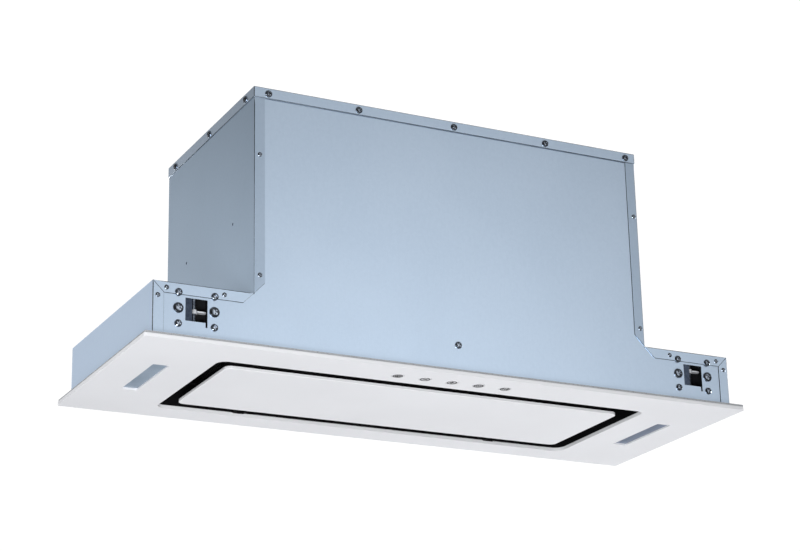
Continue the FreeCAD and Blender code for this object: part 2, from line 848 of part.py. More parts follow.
def make_fasteners():
    cover = []
    clamps = []
    rivets = []
    for end_name, end in ENDS:
        facing = "-Y" if end < 0 else "+Y"
        for column in cover_screw_columns():
            seat = (column, (face + gauge) * end, cover_screw_height)
            cover.append(screw(facing, seat, size.screw_head_radius, size.screw_shank_length))
        for side_name, side in SIDES:
            for column, row, radius, fold in clamp_screw_places(side):
                level = face if fold == "shoulder" else face - gauge
                clamps.append(screw(facing, (column, level * end, row), radius, size.screw_shank_length))
        for column, row, fold in rivet_places():
            rivets.append(rivet(facing, (column, face * end, row)))
    seat = (length(0), gauge - face, size.centre_screw_height)
    clamps.append(screw("-Y", seat, size.screw_head_radius, size.screw_shank_length))
    for side_name, side in SIDES:
        facing = "-X" if side < 0 else "+X"
        for step in (-1, 0, 1):
            seat = ((half_housing + gauge) * side, size.side_screw_pitch * step, cover_screw_height)
            cover.append(screw(facing, seat, size.screw_head_radius, size.screw_shank_length))
    keep(group("cover_screws", cover), "cover_screws")
    keep(group("clamp_screws", clamps), "clamp_screws")
    keep(group("flange_rivets", rivets), "flange_rivets")

    frame = []
    for x, y in frame_screw_places():
        seat = (x, y, tray_top + gauge)
        frame.append(screw("+Z", seat, size.frame_head_radius, gauge + size.tray_gauge))
    keep(group("frame_screws", frame), "frame_screws")


# ---------------------------------------------------------------- ceiling clamps

def clamp_axis_y(end):
    return (inner_face - size.clamp_axis_depth) * end


def make_clamp_brackets():
    """A plate behind each window, with a closed pocket and two ears that hold the spindle."""
    brackets = []
    hole = size.screw_shank_radius + size.hole_clearance
    for side_name, side in SIDES:
        for end_name, end in ENDS:
            middle = clamp_centre * side
            half = size.clamp_screw_offset + size.clamp_plate_margin
            rise = size.clamp_screw_pitch + size.clamp_plate_margin
            plate_z = (size.clamp_screw_middle - rise, size.clamp_screw_middle + rise)
            plate_y = mirrored((inner_face - size.clamp_plate_gauge, inner_face), end)
            plate = block("clamp_plate", (middle - half, middle + half), plate_y, plate_z)
            pocket_half = size.clamp_pocket_width / 2
            pocket_back = inner_face - size.clamp_pocket_depth
            pocket_y = mirrored((pocket_back, inner_face - size.clamp_plate_gauge), end)
            pocket = block("clamp_pocket", (middle - pocket_half, middle + pocket_half), pocket_y, plate_z)
            body = fuse("clamp_shell", plate, pocket)
            room_half = pocket_half - gauge
            room_y = mirrored((pocket_back + gauge, inner_face + gauge), end)
            room_z = (plate_z[0] + gauge, plate_z[1] - gauge)
            room = block("clamp_room", (middle - room_half, middle + room_half), room_y, room_z)
            access = rod("clamp_access", "+Z", (middle, clamp_axis_y(end), plate_z[0]), gauge,
                         size.spindle_head_radius + size.play)
            tools = [room, access]
            for column, row, radius, fold in clamp_screw_places(side):
                start = (column, (inner_face + gauge) * end, row)
                facing = "+Y" if end < 0 else "-Y"
                tools.append(rod("clamp_hole", facing, start, gauge * 2 + size.clamp_plate_gauge, hole))
            shell = cut("clamp_case", body, *tools)
            ears = []
            for sill in clamp_ear_sills():
                ear_y = mirrored((pocket_back, inner_face), end)
                ear = block("clamp_ear", (middle - room_half, middle + room_half), ear_y,
                            (sill, sill + size.clamp_ear_gauge))
                start = (middle, clamp_axis_y(end), sill)
                bore = rod("ear_bore", "+Z", start, size.clamp_ear_gauge,
                           size.spindle_radius + size.running_clearance)
                ears.append(cut("clamp_ear_bored", ear, bore))
            guide_y = mirrored((inner_face - gauge, inner_face), end)
            guide = block("clamp_guide", (middle - room_half, middle - size.clamp_guide_edge), guide_y,
                          (size.clamp_ear_sill, clamp_ear_sills()[1]))
            brackets.append(fuse("clamp_bracket", shell, guide, *ears))
    keep(group("clamp_brackets", brackets), "clamp_brackets")


def clamp_ear_sills():
    return (size.clamp_ear_sill, size.clamp_ear_sill + size.clamp_ear_span + size.clamp_ear_gauge)


def lug_height(side):
    return size.left_lug_height if side < 0 else size.right_lug_height


def make_clamp_movers():
    """The spindles, and the lugs that ride on them."""
    low, high = clamp_ear_sills()
    for side_name, side in SIDES:
        for end_name, end in ENDS:
            middle = clamp_centre * side
            axis_y = clamp_axis_y(end)
            tag = end_name + "_" + side_name
            gap = size.hole_clearance
            foot = (middle, axis_y, low - gap - size.spindle_head_height)
            head = rod("spindle_head", "+Z", foot, size.spindle_head_height, size.spindle_head_radius)
            top = high + size.clamp_ear_gauge + gap
            stem = rod("spindle_stem", "+Z", foot, top - foot[2], size.spindle_radius)
            tip = (middle, axis_y, top)
            nut = rod("spindle_nut", "+Z", tip, size.clamp_ear_gauge, size.spindle_head_radius)
            keep(fuse("clamp_spindle_" + tag, head, stem, nut), "clamp_spindle_" + tag)

            level = lug_height(side)
            seat = (middle, axis_y, level - size.lug_hub_height / 2)
            hub = rod("lug_hub", "+Z", seat, size.lug_hub_height, size.lug_hub_radius)
            half = size.lug_width / 2
            arm = block("lug_arm", (middle, middle + size.lug_reach), (axis_y - half, axis_y + half),
                        (level - size.lug_gauge / 2, level + size.lug_gauge / 2))
            bore_radius = size.spindle_radius + size.running_clearance
            bore = rod("lug_bore", "+Z", seat, size.lug_hub_height, bore_radius)
            keep(cut("clamp_lug_" + tag, fuse("lug_body", hub, arm), bore), "clamp_lug_" + tag)


# ---------------------------------------------------------------- lamps and controls

def make_lamps():
    boards = []
    for name, side in SIDES:
        lens = Panel("lamp_lens_" + name)
        lens_x = grown(lamp_x(side), -size.lens_clearance)
        lens_y = grown(lamp_y(), -size.lens_clearance)
        flange_x = grown(lamp_x(side), size.lens_flange)
        flange_y = grown(lamp_y(), size.lens_flange)
        window = rounded(lens_x, lens_y, size.lamp_corner)
        lens.add("XY", size.lens_recess, tray_top - size.lens_recess, window)
        lens.add("XY", tray_top, size.lens_flange_gauge, rectangle(flange_x, flange_y))
        keep(lens.body, "lamp_lens_" + name)

        room_x = grown(flange_x, size.lamp_box_room)
        room_y = grown(flange_y, size.lamp_box_room)
        top = tray_top + size.lamp_box_height
        shell = block("lamp_shell", grown(room_x, gauge), grown(room_y, gauge), (tray_top, top))
        room = block("lamp_room", room_x, room_y, (tray_top, top - gauge))
        keep(cut("lamp_housing_" + name, shell, room), "lamp_housing_" + name)
        board_z = (top - gauge - size.lamp_board_gauge, top - gauge)
        boards.append(block("lamp_board", lens_x, lens_y, board_z))
    keep(group("lamp_boards", boards), "lamp_boards")


def make_buttons():
    bezels = []
    top = size.bezel_height
    flange_base = top + size.play
    flange_top = flange_base + size.button_flange_gauge
    for number, x in enumerate(button_places, 1):
        foot = (x, button_y, -size.bezel_lip_gauge)
        rise = size.bezel_lip_gauge + top
        ring = rod("bezel_ring", "+Z", foot, rise, bezel_outer)
        lip = rod("bezel_lip", "+Z", foot, size.bezel_lip_gauge, bezel_outer + size.bezel_lip)
        bore = rod("bezel_bore", "+Z", foot, rise, bezel_inner)
        bezels.append(cut("bezel", fuse("bezel_body", ring, lip), bore))

        cap = rod("button_cap", "+Z", (x, button_y, -size.button_proud), size.button_proud + flange_base,
                  size.button_radius)
        flange = rod("button_flange", "+Z", (x, button_y, flange_base), size.button_flange_gauge,
                     size.button_radius + size.button_flange)
        stem = rod("button_stem", "+Z", (x, button_y, flange_top), size.stem_length, size.stem_radius)
        keep(fuse("button_%d" % number, cap, flange, stem), "button_%d" % number)
    keep(group("button_bezels", bezels), "button_bezels")


def make_controls():
    flange_top = size.bezel_height + size.play + size.button_flange_gauge
    stem_top = flange_top + size.stem_length
    switch_base = stem_top + size.button_travel + size.play
    board_base = switch_base + size.switch_height
    board_top = board_base + size.board_gauge
    reach = size.button_pitch * 2 + size.control_margin
    room_x = (-reach, reach)
    room_y = (button_y - size.control_depth / 2 + gauge, button_y + size.control_depth / 2 - gauge)
    top = board_top + size.control_head
    shell = block("control_shell", grown(room_x, gauge), grown(room_y, gauge), (tray_top, top + gauge))
    room = block("control_room", room_x, room_y, (tray_top, top))
    case = cut("control_case", shell, room)
    posts = []
    for side_name, side in SIDES:
        x = (reach - size.control_margin / 2) * side
        posts.append(rod("control_post", "+Z", (x, button_y, board_top), top - board_top, size.stem_radius))
    keep(fuse("control_housing", case, *posts), "control_housing")

    pieces = [block("board", grown(room_x, -size.play), grown(room_y, -size.play), (board_base, board_top))]
    half = size.switch_width / 2
    for x in button_places:
        pieces.append(block("switch", (x - half, x + half), (button_y - half, button_y + half),
                            (switch_base, board_base)))
    keep(fuse("switch_board", *pieces), "switch_board")


# ---------------------------------------------------------------- intake, deck and filters

def make_liner_and_deck():
    liner = Panel("intake_liner")
    outer_x = grown(opening_x, gauge)
    outer_y = grown(opening_y, gauge)
    corner = size.opening_corner
    inside = rounded(opening_x, opening_y, corner)
    liner.add("XY", tray_top, size.liner_height, rounded(outer_x, outer_y, corner + gauge), inside)
    flange_x = grown(outer_x, size.liner_flange)
    flange_y = grown(outer_y, size.liner_flange)
    flange = rounded(flange_x, flange_y, corner)
    liner.add("XY", tray_top, gauge, flange, inside)
    keep(liner.body, "intake_liner")

    deck = Panel("filter_deck")
    outlines = [rounded(flange_x, flange_y, corner)]
    for name, side in SIDES:
        outlines.append(rectangle(filter_opening_x(side), filter_opening_y()))
    deck.add("XY", deck_base, size.deck_gauge, *outlines)
    keep(deck.body, "filter_deck")


def filter_opening_x(side):
    return mirrored((size.deck_rib / 2, opening_width / 2 - size.deck_ledge), side)


def filter_opening_y():
    return grown(opening_y, -size.deck_ledge)


def make_filters():
    for name, side in SIDES:
        outer_x = grown(filter_opening_x(side), -size.filter_clearance)
        outer_y = grown(filter_opening_y(), -size.filter_clearance)
        middle = (outer_x[0] + outer_x[1]) / 2
        top = deck_top
        base = top - size.filter_depth
        ring = block("filter_ring", outer_x, outer_y, (base, top))
        inner_x = grown(outer_x, -size.filter_rail)
        inner_y = (outer_y[0] + size.filter_latch_rail, outer_y[1] - size.filter_rail)
        hole = block("filter_hole", inner_x, inner_y, (base, top))
        half = size.latch_width / 2
        pull_y = outer_y[0] + size.filter_latch_rail / 2
        slot_half = half + size.play
        slot = block("latch_slot", (middle - slot_half, middle + slot_half),
                     (pull_y - size.play, pull_y + size.latch_pull_gauge + size.latch_travel + size.play),
                     (base, top))
        frame = cut("filter_body", ring, hole, slot)
        tongues = []
        tongue_base = top
        tongue_top = top + size.play + size.filter_tongue_gauge
        for step in (-1, 1):
            centre = middle + (inner_x[1] - inner_x[0]) / 4 * step
            width = size.filter_tongue_width / 2
            upright = block("tongue_root", (centre - width, centre + width),
                            (outer_y[1] - size.filter_rail, outer_y[1]), (tongue_base, tongue_top))
            reach = block("tongue_reach", (centre - width, centre + width),
                          (outer_y[1], outer_y[1] + size.filter_clearance + size.filter_tongue_reach),
                          (top + size.play, tongue_top))
            tongues.append(upright)
            tongues.append(reach)
        keep(fuse("filter_frame_" + name, frame, *tongues), "filter_frame_" + name)
        mesh_top = top - size.mesh_drop
        mesh = block("filter_mesh_" + name, inner_x, inner_y, (mesh_top - size.mesh_depth, mesh_top))
        keep(mesh, "filter_mesh_" + name)

        plate = block("latch_plate", (middle - half, middle + half),
                      (outer_y[0] - size.filter_clearance - size.filter_tongue_reach,
                       pull_y + size.latch_pull_gauge), (top + size.play, tongue_top))
        pull = block("latch_pull", (middle - half, middle + half), (pull_y, pull_y + size.latch_pull_gauge),
                     (base - size.latch_pull_drop, top + size.play))
        keep(fuse("filter_latch_" + name, plate, pull), "filter_latch_" + name)


# ---------------------------------------------------------------- blower

def scroll_outline(extra):
    """The side view of the scroll, grown outwards by an amount: three arcs and a straight throat."""
    def draw(sketch):
        first = scroll_radius + extra
        third = first + size.scroll_step * 2
        throat = size.throat_depth / 2 + extra
        centre_y = blower_y - size.scroll_step
        low = add_arc(sketch, centre_y, blower_z + size.scroll_step, third, 180, 270)
        side = following_arc(sketch, low, centre_y, blower_z, first + size.scroll_step, (-90, 0))
        sketch.addConstraint(Sketcher.Constraint("Horizontal", side, 2, side, 3))
        reach = (throat - blower_y).value
        rise = (first.value ** 2 - reach ** 2) ** 0.5
        last = Vector(reach, rise, 0).getAngle(Vector(1, 0, 0))
        tongue = following_arc(sketch, side, blower_y, blower_z, first, (0, math.degrees(last)))
        limit(sketch, Sketcher.Constraint("DistanceX", -1, 1, tongue, 2, throat.value), throat)
        close_throat(sketch, low, tongue, throat)
    return draw


def following_arc(sketch, before, centre_u, centre_v, radius, angles):
    """An arc about a held centre that starts where another arc ends."""
    centre = Vector(centre_u.value, centre_v.value, 0)
    round_line = Part.Circle(centre, Vector(0, 0, 1), radius.value)
    first, last = (math.radians(angle) for angle in angles)
    arc = sketch.addGeometry(Part.ArcOfCircle(round_line, first, last), False)
    pin(sketch, arc, 3, centre_u, centre_v)
    sketch.addConstraint(Sketcher.Constraint("Coincident", arc, 1, before, 2))
    return arc


def close_throat(sketch, low, tongue, throat):
    """The two straight sides of the throat and the line across its mouth."""
    geometry = sketch.Geometry
    mouth_right = Vector(throat.value, cover_under.value, 0)
    mouth_left = Vector(-throat.value, cover_under.value, 0)
    right = sketch.addGeometry(Part.LineSegment(geometry[tongue].EndPoint, mouth_right), False)
    mouth = sketch.addGeometry(Part.LineSegment(mouth_right, mouth_left), False)
    left = sketch.addGeometry(Part.LineSegment(mouth_left, geometry[low].StartPoint), False)
    sketch.addConstraint(Sketcher.Constraint("Coincident", right, 1, tongue, 2))
    sketch.addConstraint(Sketcher.Constraint("Coincident", right, 2, mouth, 1))
    sketch.addConstraint(Sketcher.Constraint("Coincident", mouth, 2, left, 1))
    sketch.addConstraint(Sketcher.Constraint("Coincident", left, 2, low, 1))
    sketch.addConstraint(Sketcher.Constraint("Vertical", right))
    sketch.addConstraint(Sketcher.Constraint("Horizontal", mouth))
    pin(sketch, mouth, 2, -throat, cover_under)


def make_scroll():
    scroll = Panel("scroll_housing")
    half = size.scroll_width / 2
    room = half - size.scroll_gauge
    scroll.add("YZ", -half, half * 2, scroll_outline(size.scroll_gauge))
    scroll.remove("YZ", -room, room * 2, scroll_outline(length(0)))
    inlet = circle(blower_y, blower_z, size.inlet_radius)
    scroll.remove("YZ", -half, half * 2, inlet)
    keep(scroll.body, "scroll_housing")


def make_motor():
    half = size.scroll_width / 2
    centre = (blower_y, blower_z)
    near = -half
    motor_x = (near, -(size.impeller_hub_length / 2 + size.motor_gap))
    bore = size.shaft_radius + size.running_clearance
    can = rod("motor_can", "+X", (motor_x[0], *centre), motor_x[1] - motor_x[0], size.motor_radius)
    hole = rod("motor_bore", "+X", (motor_x[0], *centre), motor_x[1] - motor_x[0], bore)
    keep(cut("motor", can, hole), "motor")

    bar_x = (near - size.motor_bar_gauge, near)
    span = size.inlet_radius + size.motor_bar_overlap
    width = size.motor_bar_width / 2
    narrow_y = (blower_y - width, blower_y + width)
    narrow_z = (blower_z - width, blower_z + width)
    upright = block("motor_upright", bar_x, narrow_y, (blower_z - span, blower_z + span))
    cross = block("motor_cross", bar_x, (blower_y - span, blower_y + span), narrow_z)
    keep(fuse("motor_bracket", upright, cross), "motor_bracket")


def make_impeller():
    """Two end rings, a middle disc, a hub on its shaft, and a ring of blades."""
    wheel = Panel("impeller")
    radius = scroll_radius - size.tongue_gap
    half = size.scroll_width / 2 - size.impeller_side_gap
    disc = size.impeller_disc_gauge
    inner = radius - size.impeller_blade_depth
    zero = length(0)
    wheel.add("YZ", -disc / 2, disc, circle(zero, zero, radius))
    blade_reach = (inner + size.impeller_blade_inset, radius - size.impeller_blade_inset)
    blade = rectangle((-size.impeller_blade_gauge / 2, size.impeller_blade_gauge / 2), blade_reach)
    blade_pad = wheel.add("YZ", -half, half * 2, blade)
    pattern = wheel.body.newObject("PartDesign::PolarPattern", "impeller_blades")
    pattern.Originals = [blade_pad]
    axis = next(item for item in wheel.body.Origin.OriginFeatures if item.Role == "X_Axis")
    pattern.Axis = (axis, [""])
    pattern.Angle = 360
    pattern.Occurrences = BLADE_COUNT
    wheel.body.Tip = pattern
    wheel.add("YZ", -half, disc, circle(zero, zero, radius), circle(zero, zero, inner))
    wheel.add("YZ", half - disc, disc, circle(zero, zero, radius), circle(zero, zero, inner))
    hub = size.impeller_hub_length / 2
    wheel.add("YZ", -hub, hub * 2, circle(zero, zero, size.impeller_hub_radius))
    wheel.add("YZ", -hub - size.shaft_length, size.shaft_length, circle(zero, zero, size.shaft_radius))
    place(wheel.body, zero, blower_y, blower_z)
    keep(wheel.body, "impeller")


# ---------------------------------------------------------------- duct collar, flaps and mains connection

def make_collar():
    """A turned collar with a flange on the cover, and the holes for the flap pins."""
    collar = Panel("duct_collar")
    inner = size.duct_radius - size.duct_gauge
    outer = size.duct_radius
    low = size.hood_height - size.duct_below
    high = size.hood_height + size.duct_above
    seat = size.hood_height
    shoulder = seat + size.duct_flange_gauge
    flange = size.duct_flange_radius
    outline = polygon((inner, low), (outer, low), (outer, seat), (flange, seat), (flange, shoulder),
                      (outer, shoulder), (outer, high), (inner, high))
    sketch = collar.sketch("XZ", length(0), [outline])
    turned = collar.body.newObject("PartDesign::Revolution", "duct_collar_turned")
    turned.Profile = sketch
    turned.ReferenceAxis = (sketch, ["V_Axis"])
    turned.Angle = 360
    collar.body.Tip = turned
    bore = size.flap_pin_radius + size.running_clearance
    for name, end in ENDS:
        hole = circle(size.flap_axis_offset * end, flap_level(), bore)
        collar.remove("YZ", -outer, outer * 2, hole)
    keep(collar.body, "duct_collar")


def flap_level():
    return size.hood_height - size.flap_drop


def make_flaps():
    radius = size.duct_radius - size.duct_gauge - size.flap_clearance
    pin_reach = size.duct_radius - size.flap_pin_setback
    for name, end in ENDS:
        axis_y = size.flap_axis_offset * end
        z = (flap_level() - size.flap_gauge / 2, flap_level() + size.flap_gauge / 2)
        disc = rod("flap_disc", "+Z", (length(0), length(0), z[0]), size.flap_gauge, radius)
        half = block("flap_half", (-size.duct_radius, size.duct_radius),
                     mirrored((size.flap_axis_offset, size.duct_radius), end), z)
        leaf = document.addObject("Part::MultiCommon", "flap_leaf")
        leaf.Shapes = [disc, half]
        start = (-pin_reach, axis_y, flap_level())
        pin_rod = rod("flap_pin", "+X", start, pin_reach * 2, size.flap_pin_radius)
        keep(fuse("flap_" + name, leaf, pin_rod), "flap_" + name)


def make_mains():
    x = (terminal_x - size.terminal_width / 2, terminal_x + size.terminal_width / 2)
    y = (size.gland_back - size.terminal_depth / 2, size.gland_back + size.terminal_depth / 2)
    z = (cover_under - size.terminal_height, cover_under)
    shell = block("terminal_shell", x, y, z)
    room = block("terminal_room", grown(x, -size.terminal_gauge), grown(y, -size.terminal_gauge),
                 (z[0] + size.terminal_gauge, z[1]))
    keep(cut("terminal_box", shell, room), "terminal_box")

    place_y = size.gland_back
    nut_base = cover_under - size.gland_nut_height
    total = size.gland_nut_height + gauge + size.gland_nut_height + size.gland_cap_height
    stem = rod("gland_stem", "+Z", (terminal_x, place_y, nut_base), total, size.gland_radius)
    nut = rod("gland_nut", "+Z", (terminal_x, place_y, nut_base), size.gland_nut_height, size.gland_nut_radius)
    seat = rod("gland_seat", "+Z", (terminal_x, place_y, size.hood_height), size.gland_nut_height,
               size.gland_nut_radius)
    bore = rod("gland_bore", "+Z", (terminal_x, place_y, nut_base), total, size.gland_bore_radius)
    keep(cut("cable_gland", fuse("gland_body", stem, nut, seat), bore), "cable_gland")


# ---------------------------------------------------------------- build

def make_all():
    make_glass_frame()
    make_door()
    make_door_hinge()
    make_seal()
    make_end_sheet("front_sheet", -1)
    make_end_sheet("back_sheet", 1)
    for name, side in SIDES:
        make_housing_side(name, side)
        make_shoulder(name, side)
        make_end_wall(name, side)
    make_top_cover()
    make_fasteners()
    make_clamp_brackets()
    make_clamp_movers()
    make_lamps()
    make_buttons()
    make_controls()
    make_liner_and_deck()
    make_filters()
    make_scroll()
    make_motor()
    make_impeller()
    make_collar()
    make_flaps()
    make_mains()


def check_all():
    """Stop when an object did not recompute, or a sub-part has no sound shape."""
    for item in document.Objects:
        if "Invalid" in item.State or "Error" in item.State:
            raise ValueError("%s did not recompute: %s" % (item.Name, item.State))
    for item in nodes:
        if item.Shape.isNull() or not item.Shape.isValid():
            raise ValueError("%s has no sound shape" % item.Label)


def write_all():
    os.makedirs("parts", exist_ok=True)
    for item in nodes:
        item.Shape.exportStep("parts/%s.step" % item.Label)


make_all()
document.recompute()
check_all()
write_all()
print("%d sub-parts" % len(nodes))
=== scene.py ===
"""A flush ceiling range hood: white glass panel, galvanised casing, lamps, buttons, filters and blower."""
import json
import math

import bmesh
import bpy
from mathutils import Matrix, Vector

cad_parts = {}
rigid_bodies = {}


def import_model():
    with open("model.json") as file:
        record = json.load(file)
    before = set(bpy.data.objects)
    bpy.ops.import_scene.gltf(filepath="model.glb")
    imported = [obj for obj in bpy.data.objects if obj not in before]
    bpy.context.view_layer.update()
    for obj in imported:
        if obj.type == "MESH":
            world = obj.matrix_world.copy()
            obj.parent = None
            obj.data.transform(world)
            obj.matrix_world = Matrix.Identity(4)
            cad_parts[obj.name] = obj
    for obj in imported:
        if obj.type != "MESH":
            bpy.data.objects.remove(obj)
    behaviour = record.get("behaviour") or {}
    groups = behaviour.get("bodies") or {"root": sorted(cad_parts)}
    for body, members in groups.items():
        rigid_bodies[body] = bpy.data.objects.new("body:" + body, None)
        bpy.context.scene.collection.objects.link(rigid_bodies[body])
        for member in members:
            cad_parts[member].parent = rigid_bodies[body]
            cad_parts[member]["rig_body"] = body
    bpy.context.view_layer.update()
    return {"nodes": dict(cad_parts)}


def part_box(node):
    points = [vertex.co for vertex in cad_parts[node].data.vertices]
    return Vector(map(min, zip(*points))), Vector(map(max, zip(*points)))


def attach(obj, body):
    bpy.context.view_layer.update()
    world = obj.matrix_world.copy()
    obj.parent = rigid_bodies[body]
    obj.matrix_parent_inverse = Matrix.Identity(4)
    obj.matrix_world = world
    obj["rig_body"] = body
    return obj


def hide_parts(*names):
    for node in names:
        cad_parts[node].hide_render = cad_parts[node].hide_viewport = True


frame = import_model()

MM = 0.001

# places on the casing that the shapes below share, in mm
SHEET = 1
SHEET_FACE = 157.5
FOLD_FACE = 158.5
COVER_FACE = 159.5
FOOT = 5
CASING_TOP = 80
CASING_END = 435
HOUSING_SIDE = 297
COVER_SIDE = 298
COVER_TOP = 371
SKIRT_FOOT = 355.5
END_FOLD = 420
CLAMP_MIDDLE = 375.7


# ---------------------------------------------------------------- finishes: the way they are written

class Field:
    """A number that varies over a surface. Arithmetic on it adds Math nodes."""

    def __init__(self, finish, socket):
        self.finish = finish
        self.socket = socket

    def math(self, operation, *values):
        return self.finish.node("ShaderNodeMath", {"operation": operation}, dict(enumerate(values)))

    def __add__(self, other):
        return self.math("ADD", self, other)

    def __radd__(self, other):
        return self.math("ADD", other, self)

    def __sub__(self, other):
        return self.math("SUBTRACT", self, other)

    def __rsub__(self, other):
        return self.math("SUBTRACT", other, self)

    def __mul__(self, other):
        return self.math("MULTIPLY", self, other)

    def __abs__(self):
        return self.math("ABSOLUTE", self)

    def above(self, limit):
        return self.math("GREATER_THAN", self, limit)

    def wrapped(self):
        return self.math("FRACT", self)

    def between(self, low, high):
        """0 below low, 1 above high, smooth in between."""
        return self.finish.node("ShaderNodeMapRange", {"interpolation_type": "SMOOTHSTEP"},
                                {"Value": self, "From Min": low, "From Max": high})


class Graph:
    """The nodes of one material or of the studio's light dome."""

    def __init__(self, tree):
        self.tree = tree

    def node(self, kind, settings, inputs, output=0):
        """Adds a node: its settings first, then the values or links of its sockets."""
        made = self.tree.nodes.new(kind)
        for key, value in settings.items():
            setattr(made, key, value)
        for key, value in inputs.items():
            if isinstance(value, Field):
                self.tree.links.new(value.socket, made.inputs[key])
            else:
                made.inputs[key].default_value = value
        return Field(self, made.outputs[output])

    def place(self, output="Object"):
        """Where a point of the surface is, in metres."""
        return self.node("ShaderNodeTexCoord", {}, {}, output)

    def stretched(self, vector, factors):
        return self.node("ShaderNodeVectorMath", {"operation": "MULTIPLY"}, {0: vector, 1: factors})

    def split(self, vector):
        """The three numbers of a vector."""
        return [self.node("ShaderNodeSeparateXYZ", {}, {"Vector": vector}, axis) for axis in "XYZ"]

    def mottle(self, vector, scale, detail=2.0):
        """Cloudy noise, about 0.5 on average."""
        return self.node("ShaderNodeTexNoise", {}, {"Vector": vector, "Scale": scale, "Detail": detail})

    def cells(self, vector, scale, feature="F1", output="Distance"):
        return self.node("ShaderNodeTexVoronoi", {"feature": feature}, {"Vector": vector, "Scale": scale},
                         output)

    def blend(self, factor, first, second):
        """Between two colours."""
        return self.node("ShaderNodeMix", {"data_type": "RGBA"}, {0: factor, 6: first, 7: second}, 2)


class Finish(Graph):
    """A material: constant values go on the shader's own sockets, the rest is linked to them."""

    def __init__(self, name, **constants):
        self.material = bpy.data.materials.new(name)
        self.material.use_nodes = True
        super().__init__(self.material.node_tree)
        self.shader = self.tree.nodes["Principled BSDF"]
        for key, value in constants.items():
            self.shader.inputs[key.replace("_", " ")].default_value = value

    def feed(self, socket, field):
        self.tree.links.new(field.socket, self.shader.inputs[socket])

    def relief(self, height, distance, strength=1.0):
        """Fine relief: distance is the depth in metres of a height of 1."""
        self.feed("Normal", self.node("ShaderNodeBump", {}, {"Strength": strength, "Distance": distance,
                                                             "Height": height}))


def colour(red, green, blue):
    """A colour given as it looks on a screen, 0 to 255, made linear."""
    return tuple((step / 255 / 12.92) if step <= 10 else ((step / 255 + 0.055) / 1.055) ** 2.4
                 for step in (red, green, blue)) + (1.0,)


# ---------------------------------------------------------------- finishes of the hood's own pieces

def galvanised_sheet(name, dark, light, rough=0.3, metal=0.8):
    """Zinc-coated steel: an even skin with a very faint spangle, fine rolling grain and soft clouds."""
    finish = Finish(name, Metallic=metal, Specular_IOR_Level=0.5)
    place = finish.place()
    facet = finish.split(finish.cells(place, 260, output="Color"))[0]
    grain = finish.mottle(finish.stretched(place, (900, 900, 60)), 1.0, 3.0)
    cloud = finish.mottle(place, 7, 2.0)
    speck = finish.mottle(place, 2600, 1.0)
    shade = facet * 0.14 + grain * 0.26 + cloud * 0.4 + speck * 0.2
    finish.feed("Base Color", finish.blend(shade.between(0.15, 0.85), dark, light))
    finish.feed("Roughness", rough + facet * 0.02 + (grain - 0.5) * 0.06)
    finish.relief(speck * 0.8 + grain * 0.4 + facet * 0.1, 0.00001, 0.4)
    return finish.material


def zinc_plating(name, rough):
    """Bright zinc on screws and rivets, with fine polishing marks."""
    finish = Finish(name, Metallic=1.0)
    place = finish.place()
    blur = finish.mottle(place, 420, 3.0)
    marks = finish.mottle(finish.stretched(place, (3000, 800, 3000)), 1.0, 2.0)
    finish.feed("Base Color", finish.blend(blur.between(0.3, 0.7), colour(104, 112, 124),
                                           colour(150, 158, 168)))
    finish.feed("Roughness", rough + blur * 0.07 + marks * 0.05)
    finish.relief(marks, 0.00002, 0.4)
    return finish.material


def back_painted_glass():
    """White satin glass, painted behind: an even white with a soft sheen."""
    finish = Finish("back_painted_glass", Coat_Weight=0.15, Coat_Roughness=0.2, Specular_IOR_Level=0.15)
    place = finish.place()
    cloud = finish.mottle(place, 5, 2.0)
    finish.feed("Base Color", finish.blend(cloud.between(0.3, 0.7), colour(223, 224, 228),
                                           colour(227, 228, 232)))
    finish.feed("Roughness", 0.5 + finish.mottle(place, 60) * 0.08)
    finish.relief(finish.mottle(place, 22, 1.0), 0.00002, 0.3)
    return finish.material


def powder_coat(name, low, high, rough, scale=1400, depth=0.00004, shine=0.5):
    """Sprayed and baked paint with its fine orange-peel surface."""
    finish = Finish(name, Specular_IOR_Level=shine)
    place = finish.place()
    peel = finish.mottle(place, scale, 2.0)
    cloud = finish.mottle(place, 11, 3.0)
    finish.feed("Base Color", finish.blend(cloud.between(0.3, 0.7), low, high))
    finish.feed("Roughness", rough + (peel - 0.5) * 0.16)
    finish.relief(peel, depth, 0.6)
    return finish.material


def moulded_plastic(name, low, high, rough, scale=2200):
    """Injection-moulded plastic with a spark-eroded grain."""
    finish = Finish(name, Specular_IOR_Level=0.45)
    place = finish.place()
    pits = finish.cells(place, scale)
    cloud = finish.mottle(place, 24, 2.0)
    finish.feed("Base Color", finish.blend(cloud.between(0.3, 0.7), low, high))
    finish.feed("Roughness", rough + pits * 0.12)
    finish.relief(pits, 0.00003, 0.4)
    return finish.material


def closed_cell_foam():
    """Grey sealing foam: small closed bubbles, quite matt."""
    finish = Finish("closed_cell_foam", Specular_IOR_Level=0.2)
    place = finish.place()
    bubbles = finish.cells(place, 900)
    pores = finish.cells(place, 320)
    finish.feed("Base Color", finish.blend((bubbles + pores * 0.5).between(0.1, 0.9), colour(128, 131, 136),
                                           colour(176, 179, 184)))
    finish.feed("Roughness", 0.82 + bubbles * 0.15)
    finish.relief(bubbles + pores, 0.0002, 0.8)
    return finish.material


def frosted_lens(name, low, high):
    """Frosted lamp lens: pale blue-grey plastic with fine prism lines along its length."""
    finish = Finish(name, Coat_Weight=0.35, Coat_Roughness=0.12)
    place = finish.place()
    across = finish.split(place)[0]
    prism = abs((across * 700).wrapped() - 0.5) * 2
    frost = finish.mottle(place, 1800, 2.0)
    milk = finish.mottle(place, 30, 2.0)
    finish.feed("Base Color", finish.blend((prism * 0.35 + milk * 0.65).between(0.15, 0.85), low, high))
    finish.feed("Roughness", 0.36 + frost * 0.14)
    finish.relief(prism + frost * 0.3, 0.00008, 0.5)
    return finish.material


